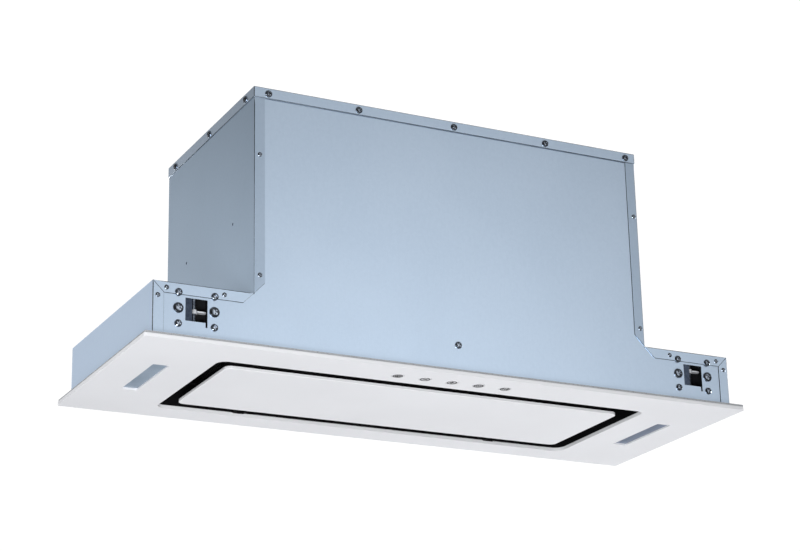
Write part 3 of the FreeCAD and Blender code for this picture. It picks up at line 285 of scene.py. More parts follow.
def circuit_board():
    """Green solder mask over a grid of copper tracks, with tinned pads."""
    finish = Finish("circuit_board", Specular_IOR_Level=0.5)
    place = finish.place()
    x, y = finish.split(place)[:2]
    wander = finish.cells(finish.stretched(place, (1, 1, 0)), 160, output="Color")
    turn = finish.split(wander)[0].above(0.5)
    lines_x = abs((x * 420).wrapped() - 0.5).above(0.36)
    lines_y = abs((y * 420).wrapped() - 0.5).above(0.36)
    track = turn * lines_x + (1 - turn) * lines_y
    pad = 1 - finish.cells(finish.stretched(place, (1, 1, 0)), 210).above(0.14)
    mask = finish.blend(track, colour(16, 74, 44), colour(34, 108, 66))
    finish.feed("Base Color", finish.blend(pad, mask, colour(190, 190, 186)))
    finish.feed("Metallic", pad * 0.9)
    finish.feed("Roughness", 0.42 - pad * 0.14)
    finish.relief(track + pad, 0.00004, 0.7)
    return finish.material


def aluminium_with_painted_shade(name, low, high):
    """Aluminium brushed along its length, made dark as painted shade, so that the filters read black through
    the slot.
    """
    finish = Finish(name, Metallic=1.0)
    place = finish.place()
    lines = finish.mottle(finish.stretched(place, (40, 2600, 2600)), 1.0, 3.0)
    cloud = finish.mottle(place, 16, 2.0)
    finish.feed("Base Color", finish.blend((lines * 0.6 + cloud * 0.4).between(0.3, 0.7), low, high))
    finish.feed("Roughness", 0.26 + lines * 0.2)
    finish.relief(lines, 0.00003, 0.5)
    return finish.material


def turned_motor_metal():
    """Motor can: drawn steel, lacquered, with rings left by the press."""
    finish = Finish("turned_motor_metal", Metallic=0.85)
    place = finish.place()
    along = finish.split(place)[0]
    rings = abs((along * 240).wrapped() - 0.5) * 2
    cloud = finish.mottle(place, 60, 3.0)
    finish.feed("Base Color", finish.blend(cloud.between(0.3, 0.7), colour(112, 116, 122),
                                           colour(150, 154, 160)))
    finish.feed("Roughness", 0.34 + cloud * 0.16)
    finish.relief(rings, 0.00006, 0.3)
    return finish.material


def ground_glass_edge_painted_light():
    """The ground edge of the glass: matt, a little whiter than its face, painted light that makes up for the
    shade on the edges.
    """
    finish = Finish("ground_glass_edge_painted_light", Specular_IOR_Level=0.3)
    place = finish.place()
    cloud = finish.mottle(place, 14, 2.0)
    scratches = finish.mottle(finish.stretched(place, (900, 900, 90)), 1.0, 2.0)
    finish.feed("Base Color", finish.blend(cloud.between(0.3, 0.7), colour(230, 231, 235),
                                           colour(234, 235, 239)))
    finish.feed("Roughness", 0.6 + scratches * 0.15)
    finish.relief(scratches, 0.00002, 0.3)
    return finish.material


casing_sheet = galvanised_sheet("galvanised_casing", colour(182, 200, 220), colour(192, 209, 228))
# a lighter copy of the galvanised sheet for the end walls: painted light
end_sheet_painted_light = galvanised_sheet("galvanised_end_painted_light", colour(203, 223, 248), colour(211, 231, 253), 0.36)
# darker copies of the galvanised sheet for the housing sides and their folds: painted shade
side_sheet_painted_shade = galvanised_sheet("galvanised_side_painted_shade", colour(169, 191, 213), colour(178, 199, 221))
fold_sheet_painted_shade = galvanised_sheet("galvanised_fold_painted_shade", colour(168, 186, 206), colour(180, 197, 216), 0.34)
# more polished galvanised for the rounded bends, with a darker colour that is painted shade along the folds
bend_shade_sheet = galvanised_sheet("galvanised_bend_painted_shade", colour(150, 163, 178), colour(174, 188, 204), 0.2, 0.95)
# near-black copy of the galvanised sheet: painted shadow lines on cut edges, bends, mitres and fold edges
shadow_line_sheet = galvanised_sheet("galvanised_painted_shadow_line", colour(22, 28, 36), colour(36, 44, 54), 0.45, 0.3)
# a dark copy of the galvanised sheet for the guide strip deep in the clamp pocket: painted shade
guide_sheet_painted_shade = galvanised_sheet("galvanised_guide_painted_shade", colour(30, 38, 52), colour(98, 111, 132), 0.4)
clamp_zinc = galvanised_sheet("clamp_zinc_plating", colour(206, 211, 218), colour(232, 235, 239), 0.34,
                              0.4)
inner_sheet = galvanised_sheet("galvanised_inner_sheet", colour(150, 160, 172), colour(180, 190, 202), 0.4)
zinc = zinc_plating("zinc_plating", 0.08)
dull_zinc = zinc_plating("dull_zinc_plating", 0.35)
glass = back_painted_glass()
glass_edge_painted_light = ground_glass_edge_painted_light()
tray_paint = powder_coat("white_powder_coat", colour(214, 216, 219), colour(224, 226, 229), 0.4)
black_paint = powder_coat("black_powder_coat", colour(5, 5, 6), colour(11, 11, 13), 0.7, 1100, 0.00008, 0.1)
# black coat for the clamp brackets: painted shade inside the pockets
pocket_painted_shade = powder_coat("black_pocket_painted_shade", colour(14, 15, 17), colour(26, 27, 30), 0.5, 1100, 0.00008,
                           0.3)
foam = closed_cell_foam()
lens_left = frosted_lens("frosted_lens_left", colour(128, 145, 163), colour(154, 169, 186))
# the right lens is a darker copy of the left one: painted shade
lens_right_painted_shade = frosted_lens("frosted_lens_right_painted_shade", colour(82, 96, 118), colour(104, 118, 140))
lamp_shell = moulded_plastic("lamp_housing_plastic", colour(196, 198, 200), colour(208, 210, 212), 0.5)
board = circuit_board()
ring_finish = moulded_plastic("button_ring", colour(198, 199, 203), colour(206, 207, 211), 0.26)
cap_finish = moulded_plastic("button_cap", colour(196, 197, 201), colour(204, 205, 209), 0.34)
mark_finish = moulded_plastic("button_mark", colour(5, 5, 7), colour(10, 10, 12), 0.6)
black_plastic = moulded_plastic("black_plastic", colour(20, 21, 23), colour(32, 33, 35), 0.45)
# dark filter frames and black filter meshes: painted shade, so that the slots beside the door read black
aluminium = aluminium_with_painted_shade("dark_aluminium_painted_shade", colour(60, 62, 66), colour(84, 86, 90))
mesh_painted_shade = aluminium_with_painted_shade("black_aluminium_painted_shade", colour(10, 10, 12), colour(18, 19, 21))
latch_finish = moulded_plastic("latch_plastic", colour(52, 54, 58), colour(66, 68, 72), 0.42)
motor_finish = turned_motor_metal()

FINISHES = (
    (glass, ("glass_frame", "door_glass")),
    (casing_sheet, ("front_sheet", "back_sheet", "housing_side_left", "housing_side_right", "shoulder_left",
                    "shoulder_right", "top_cover", "duct_collar")),
    (end_sheet_painted_light, ("end_wall_left", "end_wall_right")),
    (inner_sheet, ("motor_bracket", "scroll_housing", "flap_front", "flap_back")),
    (pocket_painted_shade, ("clamp_brackets",)),
    (zinc, ("cover_screws", "clamp_screws", "flange_rivets", "frame_screws", "door_hinge_pins")),
    (dull_zinc, ("clamp_spindle_front_left", "clamp_spindle_front_right", "clamp_spindle_back_left",
                 "clamp_spindle_back_right")),
    (clamp_zinc, ("clamp_lug_front_left", "clamp_lug_front_right", "clamp_lug_back_left",
                  "clamp_lug_back_right")),
    (tray_paint, ("frame_tray",)),
    (black_paint, ("intake_liner", "filter_deck", "door_tray", "door_hinge_brackets")),
    (foam, ("seal_strip",)),
    (lens_left, ("lamp_lens_left",)),
    (lens_right_painted_shade, ("lamp_lens_right",)),
    (lamp_shell, ("lamp_housing_left", "lamp_housing_right")),
    (board, ("lamp_boards", "switch_board")),
    (ring_finish, ("button_bezels",)),
    (cap_finish, ("button_1", "button_2", "button_3", "button_4", "button_5")),
    (black_plastic, ("control_housing", "terminal_box", "cable_gland", "impeller", "door_catches")),
    (aluminium, ("filter_frame_left", "filter_frame_right")),
    (mesh_painted_shade, ("filter_mesh_left", "filter_mesh_right")),
    (latch_finish, ("filter_latch_left", "filter_latch_right")),
    (motor_finish, ("motor",)),
)

for finish, names in FINISHES:
    for name in names:
        for holder in frame["nodes"][name].material_slots:
            holder.material = finish


# ---------------------------------------------------------------- shapes: helpers

def add_piece(name, shape, finishes, body, replaced=(), crease=35):
    """Puts a finished shape, drawn in metres in its place, on a body, in place of CAD nodes.

    With a crease angle all its faces are smooth up to that angle, and without one they stay as they are.
    """
    bmesh.ops.recalc_face_normals(shape, faces=shape.faces)
    mesh = bpy.data.meshes.new(name)
    shape.to_mesh(mesh)
    shape.free()
    for finish in finishes:
        mesh.materials.append(finish)
    if crease:
        mesh.polygons.foreach_set("use_smooth", [True] * len(mesh.polygons))
        mesh.set_sharp_from_angle(angle=math.radians(crease))
    made = bpy.data.objects.new(name, mesh)
    bpy.context.scene.collection.objects.link(made)
    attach(made, body)
    if replaced:
        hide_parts(*replaced)
    return made


def turned(profile, steps=32, ring=False):
    """A shape turned about Z, from (radius, height) points in mm. A ring's profile closes on itself."""
    shape = bmesh.new()
    points = [shape.verts.new((radius * MM, 0, height * MM)) for radius, height in profile]
    pairs = list(zip(points, points[1:]))
    if ring:
        pairs.append((points[-1], points[0]))
    lines = [shape.edges.new(pair) for pair in pairs]
    bmesh.ops.spin(shape, geom=points + lines, axis=(0, 0, 1), cent=(0, 0, 0), dvec=(0, 0, 0),
                   angle=math.tau, steps=steps, use_merge=True)
    bmesh.ops.remove_doubles(shape, verts=shape.verts, dist=0.000001)
    bmesh.ops.recalc_face_normals(shape, faces=shape.faces)
    return shape


def facing_matrix(facing, seat, turn=0.0):
    """Carries a shape drawn on the ground, facing up, to its seat in mm."""
    lean = Vector((0, 0, 1)).rotation_difference(Vector(facing)).to_matrix().to_4x4()
    return Matrix.Translation(Vector(seat) * MM) @ lean @ Matrix.Rotation(turn, 4, "Z")


def stamp(shape, pattern, matrix):
    """Adds a copy of a pattern to a shape."""
    before = len(shape.verts)
    mesh = bpy.data.meshes.new("pattern")
    pattern.to_mesh(mesh)
    shape.from_mesh(mesh)
    bpy.data.meshes.remove(mesh)
    shape.verts.ensure_lookup_table()
    bmesh.ops.transform(shape, matrix=matrix, verts=shape.verts[before:])


def merged(node):
    """A copy of a CAD node's mesh with its loose triangles joined."""
    shape = bmesh.new()
    shape.from_mesh(frame["nodes"][node].data)
    bmesh.ops.remove_doubles(shape, verts=shape.verts, dist=0.000002)
    return shape


def eased(node, name, finishes, slot, *roundings):
    """The node's own shape, with the edges that each rule on their end points picks rounded off.

    The first finish is for the flat faces and the second for those that face the front or the back.
    A fourth finish, where there is one, is for the cut edges of the sheet: near-black, a painted shadow line.
    A rounding is its width in mm, its rule, and the finish of the rounded edge.
    """
    shape = merged(node)
    bmesh.ops.dissolve_limit(shape, angle_limit=math.radians(0.5), verts=shape.verts, edges=shape.edges)
    bmesh.ops.connect_verts_concave(shape, faces=shape.faces)
    for face in shape.faces:
        face.smooth = False
        face.material_index = int(abs(face.normal.y) > 0.9)
        lengths = sorted(edge.calc_length() / MM for edge in face.edges)
        # the sheet's cut edges take the near-black painted shadow line
        if SHADOW_LINE < len(finishes) and len(lengths) == 4 and near(lengths[1], SHEET) and near(lengths[0], SHEET):
            face.material_index = SHADOW_LINE
    for width, chosen, finish in roundings:
        picked = []
        for edge in shape.edges:
            if len(edge.link_faces) == 2 and edge.calc_face_angle() > math.radians(50):
                if all(chosen(*(vert.co / MM)) for vert in edge.verts):
                    picked.append(edge)
        bends = bmesh.ops.bevel(shape, geom=picked, offset=width * MM, offset_type="OFFSET", segments=3,
                                profile=0.5, affect="EDGES", clamp_overlap=True, material=-1)["faces"]
        for face in bends:
            face.smooth = True
            face.material_index = finish
    body = frame["nodes"][node]["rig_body"]
    return add_piece(name, shape, finishes, body, (node,), None)


def near(value, target, slack=0.05):
    return abs(abs(value) - target) < slack


# ---------------------------------------------------------------- glass and sheet metal with eased edges

def on_lower_face(x, y, z):
    return abs(z) < 0.05


def on_housing_bend(x, y, z):
    return near(x, HOUSING_SIDE) and near(y, FOLD_FACE)


def on_shoulder_bend(x, y, z):
    return near(y, FOLD_FACE) and near(z, CASING_TOP)


def on_end_bend(x, y, z):
    return near(x, CASING_END) and (near(y, FOLD_FACE) or near(z, FOOT))


def on_end_fold(x, y, z):
    """The free edge of an end wall's fold, over the front or back sheet."""
    return near(x, END_FOLD) and near(y, FOLD_FACE)


def on_mitre(x, y, z):
    """Where two folds meet at 45 degrees over the front or back sheet."""
    outer = near(abs(x) - z, CASING_END - CASING_TOP)
    inner = near(abs(x) + z, HOUSING_SIDE + CASING_TOP)
    return near(y, FOLD_FACE) and abs(z - CASING_TOP) < 16 and (outer or inner)


def on_cover_bend(x, y, z):
    beside = near(x, COVER_SIDE)
    before = near(y, COVER_FACE)
    return (near(z, COVER_TOP) and (before or beside)) or (beside and before)


def on_skirt_edge(x, y, z):
    return near(z, SKIRT_FOOT) and (near(y, COVER_FACE) or near(x, COVER_SIDE))


def on_foot_bend(x, y, z):
    return near(z, FOOT) and near(y, SHEET_FACE)


BEND = 2
# the fourth finish: near-black painted shadow lines
SHADOW_LINE = 3
WHITE = (glass, glass_edge_painted_light)
FLAT = (casing_sheet, casing_sheet, bend_shade_sheet, shadow_line_sheet)
SIDE = (side_sheet_painted_shade, fold_sheet_painted_shade, bend_shade_sheet, shadow_line_sheet)
END = (end_sheet_painted_light, casing_sheet, bend_shade_sheet, shadow_line_sheet)
STEEL = "galvanised_steel"
eased("glass_frame", "panel_glass", WHITE, "white_glass", (0.6, on_lower_face, 1))
eased("door_glass", "door_glass_plate", WHITE, "white_glass", (0.6, on_lower_face, 1))
# the foot, cover and skirt bends take the darker bend finish: painted shade along the folds
eased("front_sheet", "front_sheet_folded", FLAT, STEEL, (0.7, on_foot_bend, BEND))
eased("back_sheet", "back_sheet_folded", FLAT, STEEL, (0.7, on_foot_bend, BEND))
eased("top_cover", "top_cover_folded", FLAT, STEEL, (1.2, on_cover_bend, BEND), (0.7, on_skirt_edge, BEND))
# near-black painted shadow lines on the housing, shoulder and end bends, the mitres and the free edges of the
# end folds
for side in ("left", "right"):
    eased("housing_side_" + side, "housing_side_%s_folded" % side, SIDE, STEEL, (0.8, on_housing_bend, SHADOW_LINE),
          (0.5, on_mitre, SHADOW_LINE))
    eased("shoulder_" + side, "shoulder_%s_folded" % side, FLAT, STEEL, (1.0, on_shoulder_bend, SHADOW_LINE),
          (0.5, on_mitre, SHADOW_LINE))
    eased("end_wall_" + side, "end_wall_%s_folded" % side, END, STEEL, (0.9, on_end_bend, SHADOW_LINE),
          (0.5, on_mitre, SHADOW_LINE), (0.9, on_end_fold, SHADOW_LINE))


# ---------------------------------------------------------------- screws and rivets

def pan_head(radius, height=2.4, shank=(1.9, 6.0)):
    """A pan head facing up, with a tapered cross recess, and its shank below."""
    shape = bmesh.new()
    reach = radius * 0.5
    bmesh.ops.create_grid(shape, x_segments=6, y_segments=6, size=reach * MM)
    bmesh.ops.translate(shape, verts=shape.verts, vec=(0, 0, height * MM))
    arm = reach / 3 * MM
    recess = []
    for face in shape.faces:
        middle = face.calc_center_median()
        if abs(middle.x) < arm or abs(middle.y) < arm:
            recess.append(face)
    border = [edge for edge in shape.edges if edge.is_boundary]
    circle = bmesh.ops.create_circle(shape, segments=24, radius=radius * 0.7 * MM)
    bmesh.ops.translate(shape, verts=circle["verts"], vec=(0, 0, height * 0.94 * MM))
    rim = list({edge for vert in circle["verts"] for edge in vert.link_edges})
    bmesh.ops.bridge_loops(shape, edges=border + rim)
    bmesh.ops.inset_region(shape, faces=recess, thickness=radius * 0.045 * MM, depth=-height * 0.62 * MM,
                           use_even_offset=True)
    for across, up in ((0.88, 0.7), (1.0, 0.28), (1.0, 0.0), (shank[0] / radius, 0.0)):
        grown = bmesh.ops.extrude_edge_only(shape, edges=rim)["geom"]
        ring = [item for item in grown if isinstance(item, bmesh.types.BMVert)]
        now = math.hypot(ring[0].co.x, ring[0].co.y)
        growth = radius * across * MM / now
        bmesh.ops.scale(shape, vec=(growth, growth, 1), verts=ring)
        bmesh.ops.translate(shape, verts=ring, vec=(0, 0, height * up * MM - ring[0].co.z))
        rim = [item for item in grown if isinstance(item, bmesh.types.BMEdge)]
        rim = [edge for edge in rim if edge.is_boundary]
    grown = bmesh.ops.extrude_edge_only(shape, edges=rim)["geom"]
    ring = [item for item in grown if isinstance(item, bmesh.types.BMVert)]
    bmesh.ops.translate(shape, verts=ring, vec=(0, 0, -shank[1] * MM))
    bmesh.ops.contextual_create(shape, geom=[item for item in grown if isinstance(item, bmesh.types.BMEdge)
                                             and item.is_boundary])
    bmesh.ops.recalc_face_normals(shape, faces=shape.faces)
    return shape


FRONT = (0, -1, 0)
BACK = (0, 1, 0)
LEFT = (-1, 0, 0)
RIGHT = (1, 0, 0)
UP = (0, 0, 1)
ENDS = ((FRONT, -1), (BACK, 1))
SIDES = ((LEFT, -1), (RIGHT, 1))
COVER_ROW = 362.6
CLAMP_REACH = 24.5
TURN_EACH = 0.7


def add_screws():
    small = pan_head(5)
    large = pan_head(7)
    cover = bmesh.new()
    clamps = bmesh.new()
    count = 0
    for facing, end in ENDS:
        for column in (-277, -143.5, 2.5, 148.5, 282):
            seat = (column, COVER_FACE * end, COVER_ROW)
            stamp(cover, small, facing_matrix(facing, seat, TURN_EACH * count))
            count += 1
        for middle in (-CLAMP_MIDDLE, CLAMP_MIDDLE):
            for column in (middle - CLAMP_REACH, middle + CLAMP_REACH):
                for row, head, level in ((26.7, small, SHEET_FACE), (47.3, large, SHEET_FACE),
                                         (67.9, small, FOLD_FACE)):
                    seat = (column, level * end, row)
                    stamp(clamps, head, facing_matrix(facing, seat, TURN_EACH * count))
                    count += 1
    for facing, side in SIDES:
        for row in (-130, 0, 130):
            seat = (COVER_SIDE * side, row, COVER_ROW)
            stamp(cover, small, facing_matrix(facing, seat, TURN_EACH * count))
            count += 1
    stamp(clamps, small, facing_matrix(FRONT, (0, -SHEET_FACE, 46), 0.35))
    add_piece("cover_screw_heads", cover, (zinc,), "root", ("cover_screws",), 25)
    add_piece("clamp_screw_heads", clamps, (zinc,), "root", ("clamp_screws",), 25)
    foot = pan_head(3, 2.4, (1.9, 2.0))
    feet = bmesh.new()
    places = [(x, y) for x in (-320, -120, 120, 320) for y in (-152.5, 152.5)]
    places += [(x, y) for x in (-430, 430) for y in (-100, 100)]
    for x, y in places:
        stamp(feet, foot, facing_matrix(UP, (x, y, 6), 0.5 * x + y))
    add_piece("frame_screw_heads", feet, (zinc,), "root", ("frame_screws",), 25)


def add_rivets():
    """Blind rivets: a low dome with the broken-off mandrel in its middle."""
    pattern = turned(((0, 0.45), (0.7, 0.5), (0.85, 1.0), (1.3, 1.1), (2.1, 0.98), (2.8, 0.62), (3.2, 0.2),
                      (3.2, 0), (1.55, 0), (1.55, -2.2), (0, -2.2)), 24)
    shape = bmesh.new()
    places = []
    for side in (-1, 1):
        places += [(290.2 * side + 1.2, 274), (290.2 * side + 1.2, 105.8), (338 * side, 72.2),
                   (416.5 * side, 72.2), (428.2 * side, 60.7)]
    for facing, end in ENDS:
        for column, row in places:
            stamp(shape, pattern, facing_matrix(facing, (column, FOLD_FACE * end, row)))
    add_piece("rivet_heads", shape, (zinc,), "root", ("flange_rivets",), 40)


add_screws()
add_rivets()


# ---------------------------------------------------------------- buttons

BUTTON_PLACES = (-81.2, -40.6, 0, 40.6, 81.2)
BUTTON_ROW = -136
MARK_HEIGHT = 0.2


def add_bezels():
    pattern = turned(((7.2, 6), (7.2, -0.35), (7.45, -0.6), (8.75, -0.6), (9.1, -0.42), (9.2, -0.1), (9.2, 0),
                      (8, 0), (8, 6)), 48, True)
    shape = bmesh.new()
    for column in BUTTON_PLACES:
        stamp(shape, pattern, Matrix.Translation((column * MM, BUTTON_ROW * MM, 0)))
    add_piece("button_rings", shape, (ring_finish,), "root", ("button_bezels",), 40)


def bar(shape, x, y, wide, long):
    """A short printed stroke on a button's face."""
    made = bmesh.ops.create_circle(shape, cap_ends=True, segments=12, radius=1)["verts"]
    bmesh.ops.scale(shape, vec=(wide / 2 * MM, long / 2 * MM, 1), verts=made)
    bmesh.ops.translate(shape, verts=made, vec=(x * MM, y * MM, 0))
    face = list({item for vert in made for item in vert.link_faces})
    raised = bmesh.ops.extrude_face_region(shape, geom=face)["geom"]
    lifted = [item for item in raised if isinstance(item, bmesh.types.BMVert)]
    bmesh.ops.translate(shape, verts=lifted, vec=(0, 0, -MARK_HEIGHT * MM))


def hoop(shape, outer, inner):
    """A printed circle on a button's face."""
    pattern = turned(((inner, 0), (outer, 0), (outer, -MARK_HEIGHT), (inner, -MARK_HEIGHT)), 32, True)
    stamp(shape, pattern, Matrix.Identity(4))
    pattern.free()


def mark_one(shape):
    bar(shape, 0, 1.0, 2.4, 5.4)
    hoop(shape, 4.2, 2.6)


def mark_two(shape):
    bar(shape, 0, 0, 8.4, 2.8)


def mark_three(shape):
    bar(shape, 0, 0, 8.4, 2.6)
    bar(shape, 0, 0, 2.6, 8.4)


def mark_four(shape):
    hoop(shape, 4, 2.9)
    bar(shape, 0, 0, 2.2, 2.2)


def mark_five(shape):
    for x in (-3.2, 0, 3.2):
        bar(shape, x, 0, 2.4, 6)


def add_buttons():
    """Caps with a shallow dish, a flange behind the ring, and a stem that reaches the switch."""
    profile = ((0, -0.3), (5.6, -0.36), (6.5, -0.4), (6.9, -0.26), (7, 0.1), (7, 6.3), (8.6, 6.3), (8.6, 7.8),
               (2, 7.8), (2, 15.5), (1.7, 15.8), (0, 15.8))
    low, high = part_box("button_3")
    flange = high.x / MM
    marks = (mark_one, mark_two, mark_three, mark_four, mark_five)
    for number, column in enumerate(BUTTON_PLACES, 1):
        shape = turned([(min(radius, flange), height) for radius, height in profile], 48)
        bmesh.ops.translate(shape, verts=shape.verts, vec=(column * MM, BUTTON_ROW * MM, 0))
        body = "button_%d" % number
        add_piece("button_cap_%d" % number, shape, (cap_finish,), body, (body,), 40)
        mark = bmesh.new()
        marks[number - 1](mark)
        hoop(mark, 6.8, 5.2)
        bmesh.ops.translate(mark, verts=mark.verts, vec=(column * MM, BUTTON_ROW * MM, -0.3 * MM))
        add_piece("button_mark_%d" % number, mark, (mark_finish,), body)


add_bezels()
add_buttons()


# ---------------------------------------------------------------- ceiling clamps

def thread(foot, top, radius, pitch=1.0):
    """The ridges of a screw thread, as (radius, height) points."""
    points = []
    height = foot
    while height < top:
        points += [(radius, height), (radius - 0.45, height + pitch / 2)]
        height += pitch
    return points


SPINDLE_ROW = 148.5
CLAMPS = (
    # the clamp's name, the middle of its spindle and the level of its lug
    ("front_left", -CLAMP_MIDDLE, -SPINDLE_ROW, 47),
    ("back_left", -CLAMP_MIDDLE, SPINDLE_ROW, 47),
    ("front_right", CLAMP_MIDDLE, -SPINDLE_ROW, 55),
    ("back_right", CLAMP_MIDDLE, SPINDLE_ROW, 55),
)


def add_clamps():
    profile = [(0, 19.9), (3.6, 19.9), (4, 20.3), (4, 22.6), (3.7, 22.9), (2.5, 22.9)]
    profile += thread(24, 69, 2.5)
    profile += [(2.5, 69.6), (2.5, 71.1), (0, 71.1)]
    for tag, x, y, level in CLAMPS:
        spindle = turned(profile, 20)
        nut = bmesh.ops.create_cone(spindle, cap_ends=True, segments=6, radius1=4 * MM, radius2=4 * MM,
                                    depth=1.5 * MM)["verts"]
        bmesh.ops.translate(spindle, verts=nut, vec=(0, 0, 70.3 * MM))
        bmesh.ops.translate(spindle, verts=spindle.verts, vec=(x * MM, y * MM, 0))
        name = "clamp_spindle_" + tag
        add_piece("threaded_spindle_" + tag, spindle, (dull_zinc,), name, (name,), 30)

        lug = turned(((2.6, 2.7), (2.6, -2.7), (3.6, -2.7), (4, -2.3), (4, 2.3), (3.6, 2.7)), 28, True)
        arm = bmesh.ops.create_cube(lug, size=1)["verts"]
        bmesh.ops.scale(lug, vec=(12.6 * MM, 7 * MM, 1.8 * MM), verts=arm)
        bmesh.ops.translate(lug, verts=arm, vec=(9.7 * MM, 0, 0))
        tip = [edge for edge in {item for vert in arm for item in vert.link_edges}
               if all(near(vert.co.x / MM, 16) for vert in edge.verts)
               and abs(edge.verts[0].co.z - edge.verts[1].co.z) > MM]
        bmesh.ops.bevel(lug, geom=tip, offset=2.6 * MM, offset_type="OFFSET", segments=5, profile=0.5,
                        affect="EDGES", material=-1)
        bmesh.ops.translate(lug, verts=lug.verts, vec=(x * MM, y * MM, level * MM))
        name = "clamp_lug_" + tag
        add_piece("clamp_claw_" + tag, lug, (clamp_zinc,), name, (name,), 30)


def add_clamp_pockets():
    """Pockets behind the windows, coated black as painted shade, with a galvanised guide strip beside the
    spindle that is darkened as painted shade.
    """
    shape = merged("clamp_brackets")
    for middle in (-CLAMP_MIDDLE, CLAMP_MIDDLE):
        for column in (-19, -5.5):
            bmesh.ops.bisect_plane(shape, geom=shape.verts[:] + shape.edges[:] + shape.faces[:],
                                   plane_co=((middle + column) * MM, 0, 0), plane_no=RIGHT)
    for face in shape.faces:
        middle = face.calc_center_median() / MM
        column = middle.x - math.copysign(CLAMP_MIDDLE, middle.x)
        face.material_index = int(abs(middle.y) > 155.4 and -18.9 < column < -5.4)
    add_piece("clamp_pockets", shape, (pocket_painted_shade, guide_sheet_painted_shade), "root",
              ("clamp_brackets",), None)


add_clamps()
add_clamp_pockets()


# ---------------------------------------------------------------- grease filters

MESH_LAYERS = (
    # the level of a layer, the pitch of its diamonds and how much they are flattened
    (37.25, 7.0, 0.6),
    (38.9, 6.0, 0.7),
    (40.4, 7.0, 0.6),
)
STRAND_WIDTH = 0.45
STRAND_THICKNESS = 0.5


def add_filter_meshes():
    """Layers of expanded aluminium mesh that catch the grease."""
    for name in ("left", "right"):
        node = "filter_mesh_" + name
        low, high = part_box(node)
        middle = (low + high) / 2
        pack = bmesh.new()
        for layer, (level, pitch, lean) in enumerate(MESH_LAYERS):
            shape = bmesh.new()
            half = 240
            count = round(half * 2 / pitch)
            bmesh.ops.create_grid(shape, x_segments=count, y_segments=count, size=half * MM)
            bmesh.ops.rotate(shape, matrix=Matrix.Rotation(math.radians(45), 3, "Z"), verts=shape.verts)
            bmesh.ops.scale(shape, vec=(1, lean, 1), verts=shape.verts)
            bmesh.ops.translate(shape, verts=shape.verts, vec=(middle.x + layer * 1.5 * MM, middle.y,
                                                               level * MM))
            for point, normal in ((low, LEFT), (high, RIGHT), (low, FRONT), (high, BACK)):
                bmesh.ops.bisect_plane(shape, geom=shape.verts[:] + shape.edges[:] + shape.faces[:],
                                       plane_co=point, plane_no=normal, clear_outer=True)
            openings = [face for face in shape.faces if face.calc_area() > pitch * pitch * lean * 0.3e-6]
            strands = bmesh.ops.inset_individual(shape, faces=openings, thickness=STRAND_WIDTH * MM,
                                                 use_even_offset=True)["faces"]
            kept = set(strands)
            closed = [face for face in openings if face.is_valid and face not in kept]
            bmesh.ops.delete(shape, geom=closed, context="FACES")
            bmesh.ops.solidify(shape, geom=shape.faces[:], thickness=STRAND_THICKNESS * MM)
            stamp(pack, shape, Matrix.Identity(4))
            shape.free()
        add_piece("expanded_mesh_" + name, pack, (mesh_painted_shade,), "root", (node,), 30)


add_filter_meshes()


# ---------------------------------------------------------------- duct collar and cable gland

def add_collar():
    """A turned collar with a stiffening bead below its rolled lip."""
    profile = ((72.5, 320), (74.5, 320), (74.5, 371), (91.4, 371), (92, 371.5), (92, 373), (91.4, 373.5),
               (76, 373.5), (74.9, 374), (74.5, 375), (74.5, 388.2), (74.1, 389), (73.7, 390), (74.1, 391),
               (74.5, 391.8), (74.5, 405.2), (74.1, 406), (73, 406), (72.5, 405.2), (72.5, 392.2),
               (72.0, 391), (71.8, 390), (72.0, 389), (72.5, 387.8))
    shape = turned(profile, 96, True)
    add_piece("rolled_duct_collar", shape, (casing_sheet,), "root", ("duct_collar",), 40)


def add_gland():
    """Cable gland: two hexagon nuts on the cover and a ribbed cap."""
    shape = turned(((4, 364), (4, 387), (6.6, 387), (7.6, 386.4), (8, 385.2), (8, 378), (8, 364)), 32, True)
    for low, high in ((364, 370), (371, 377)):
        nut = turned(((8, low), (8, high), (11.2, high), (12, high - 0.7), (12, low + 0.7), (11.2, low)), 6,
                     True)
        stamp(shape, nut, Matrix.Identity(4))
        nut.free()
    rib = bmesh.new()
    bmesh.ops.create_cone(rib, cap_ends=True, segments=6, radius1=0.5 * MM, radius2=0.35 * MM, depth=7 * MM)
    for step in range(18):
        angle = step * math.tau / 18
        stamp(shape, rib, Matrix.Translation((8 * MM * math.cos(angle), 8 * MM * math.sin(angle), 381 * MM)))
    bmesh.ops.translate(shape, verts=shape.verts, vec=(190 * MM, 20 * MM, 0))
    add_piece("cable_gland_with_nuts", shape, (black_plastic,), "root", ("cable_gland",), 30)


add_collar()
add_gland()


# ---------------------------------------------------------------- camera, floor and light

CAMERA_PLACE = (-1.326546, -2.593774, -0.819215)
CAMERA_AZIMUTH = 26.99331
CAMERA_ELEVATION = 19.20719
CAMERA_ROLL = -1.26803
CAMERA_LENS = 97.5014
FLOOR_LEVEL = -5


def add_camera():
    """Below the hood, to its front left, looking up at it."""
    camera = bpy.data.cameras.new("studio_camera")
    camera.sensor_width = 36
    camera.lens = CAMERA_LENS
    viewer = bpy.data.objects.new("studio_camera", camera)
    bpy.context.scene.collection.objects.link(viewer)
    azimuth = math.radians(CAMERA_AZIMUTH)
    elevation = math.radians(CAMERA_ELEVATION)
    roll = math.radians(CAMERA_ROLL)
    turn = Matrix.Rotation(-azimuth, 4, "Z") @ Matrix.Rotation(math.pi / 2 + elevation, 4, "X")
    viewer.matrix_world = Matrix.Translation(CAMERA_PLACE) @ turn @ Matrix.Rotation(roll, 4, "Z")
    bpy.context.scene.camera = viewer


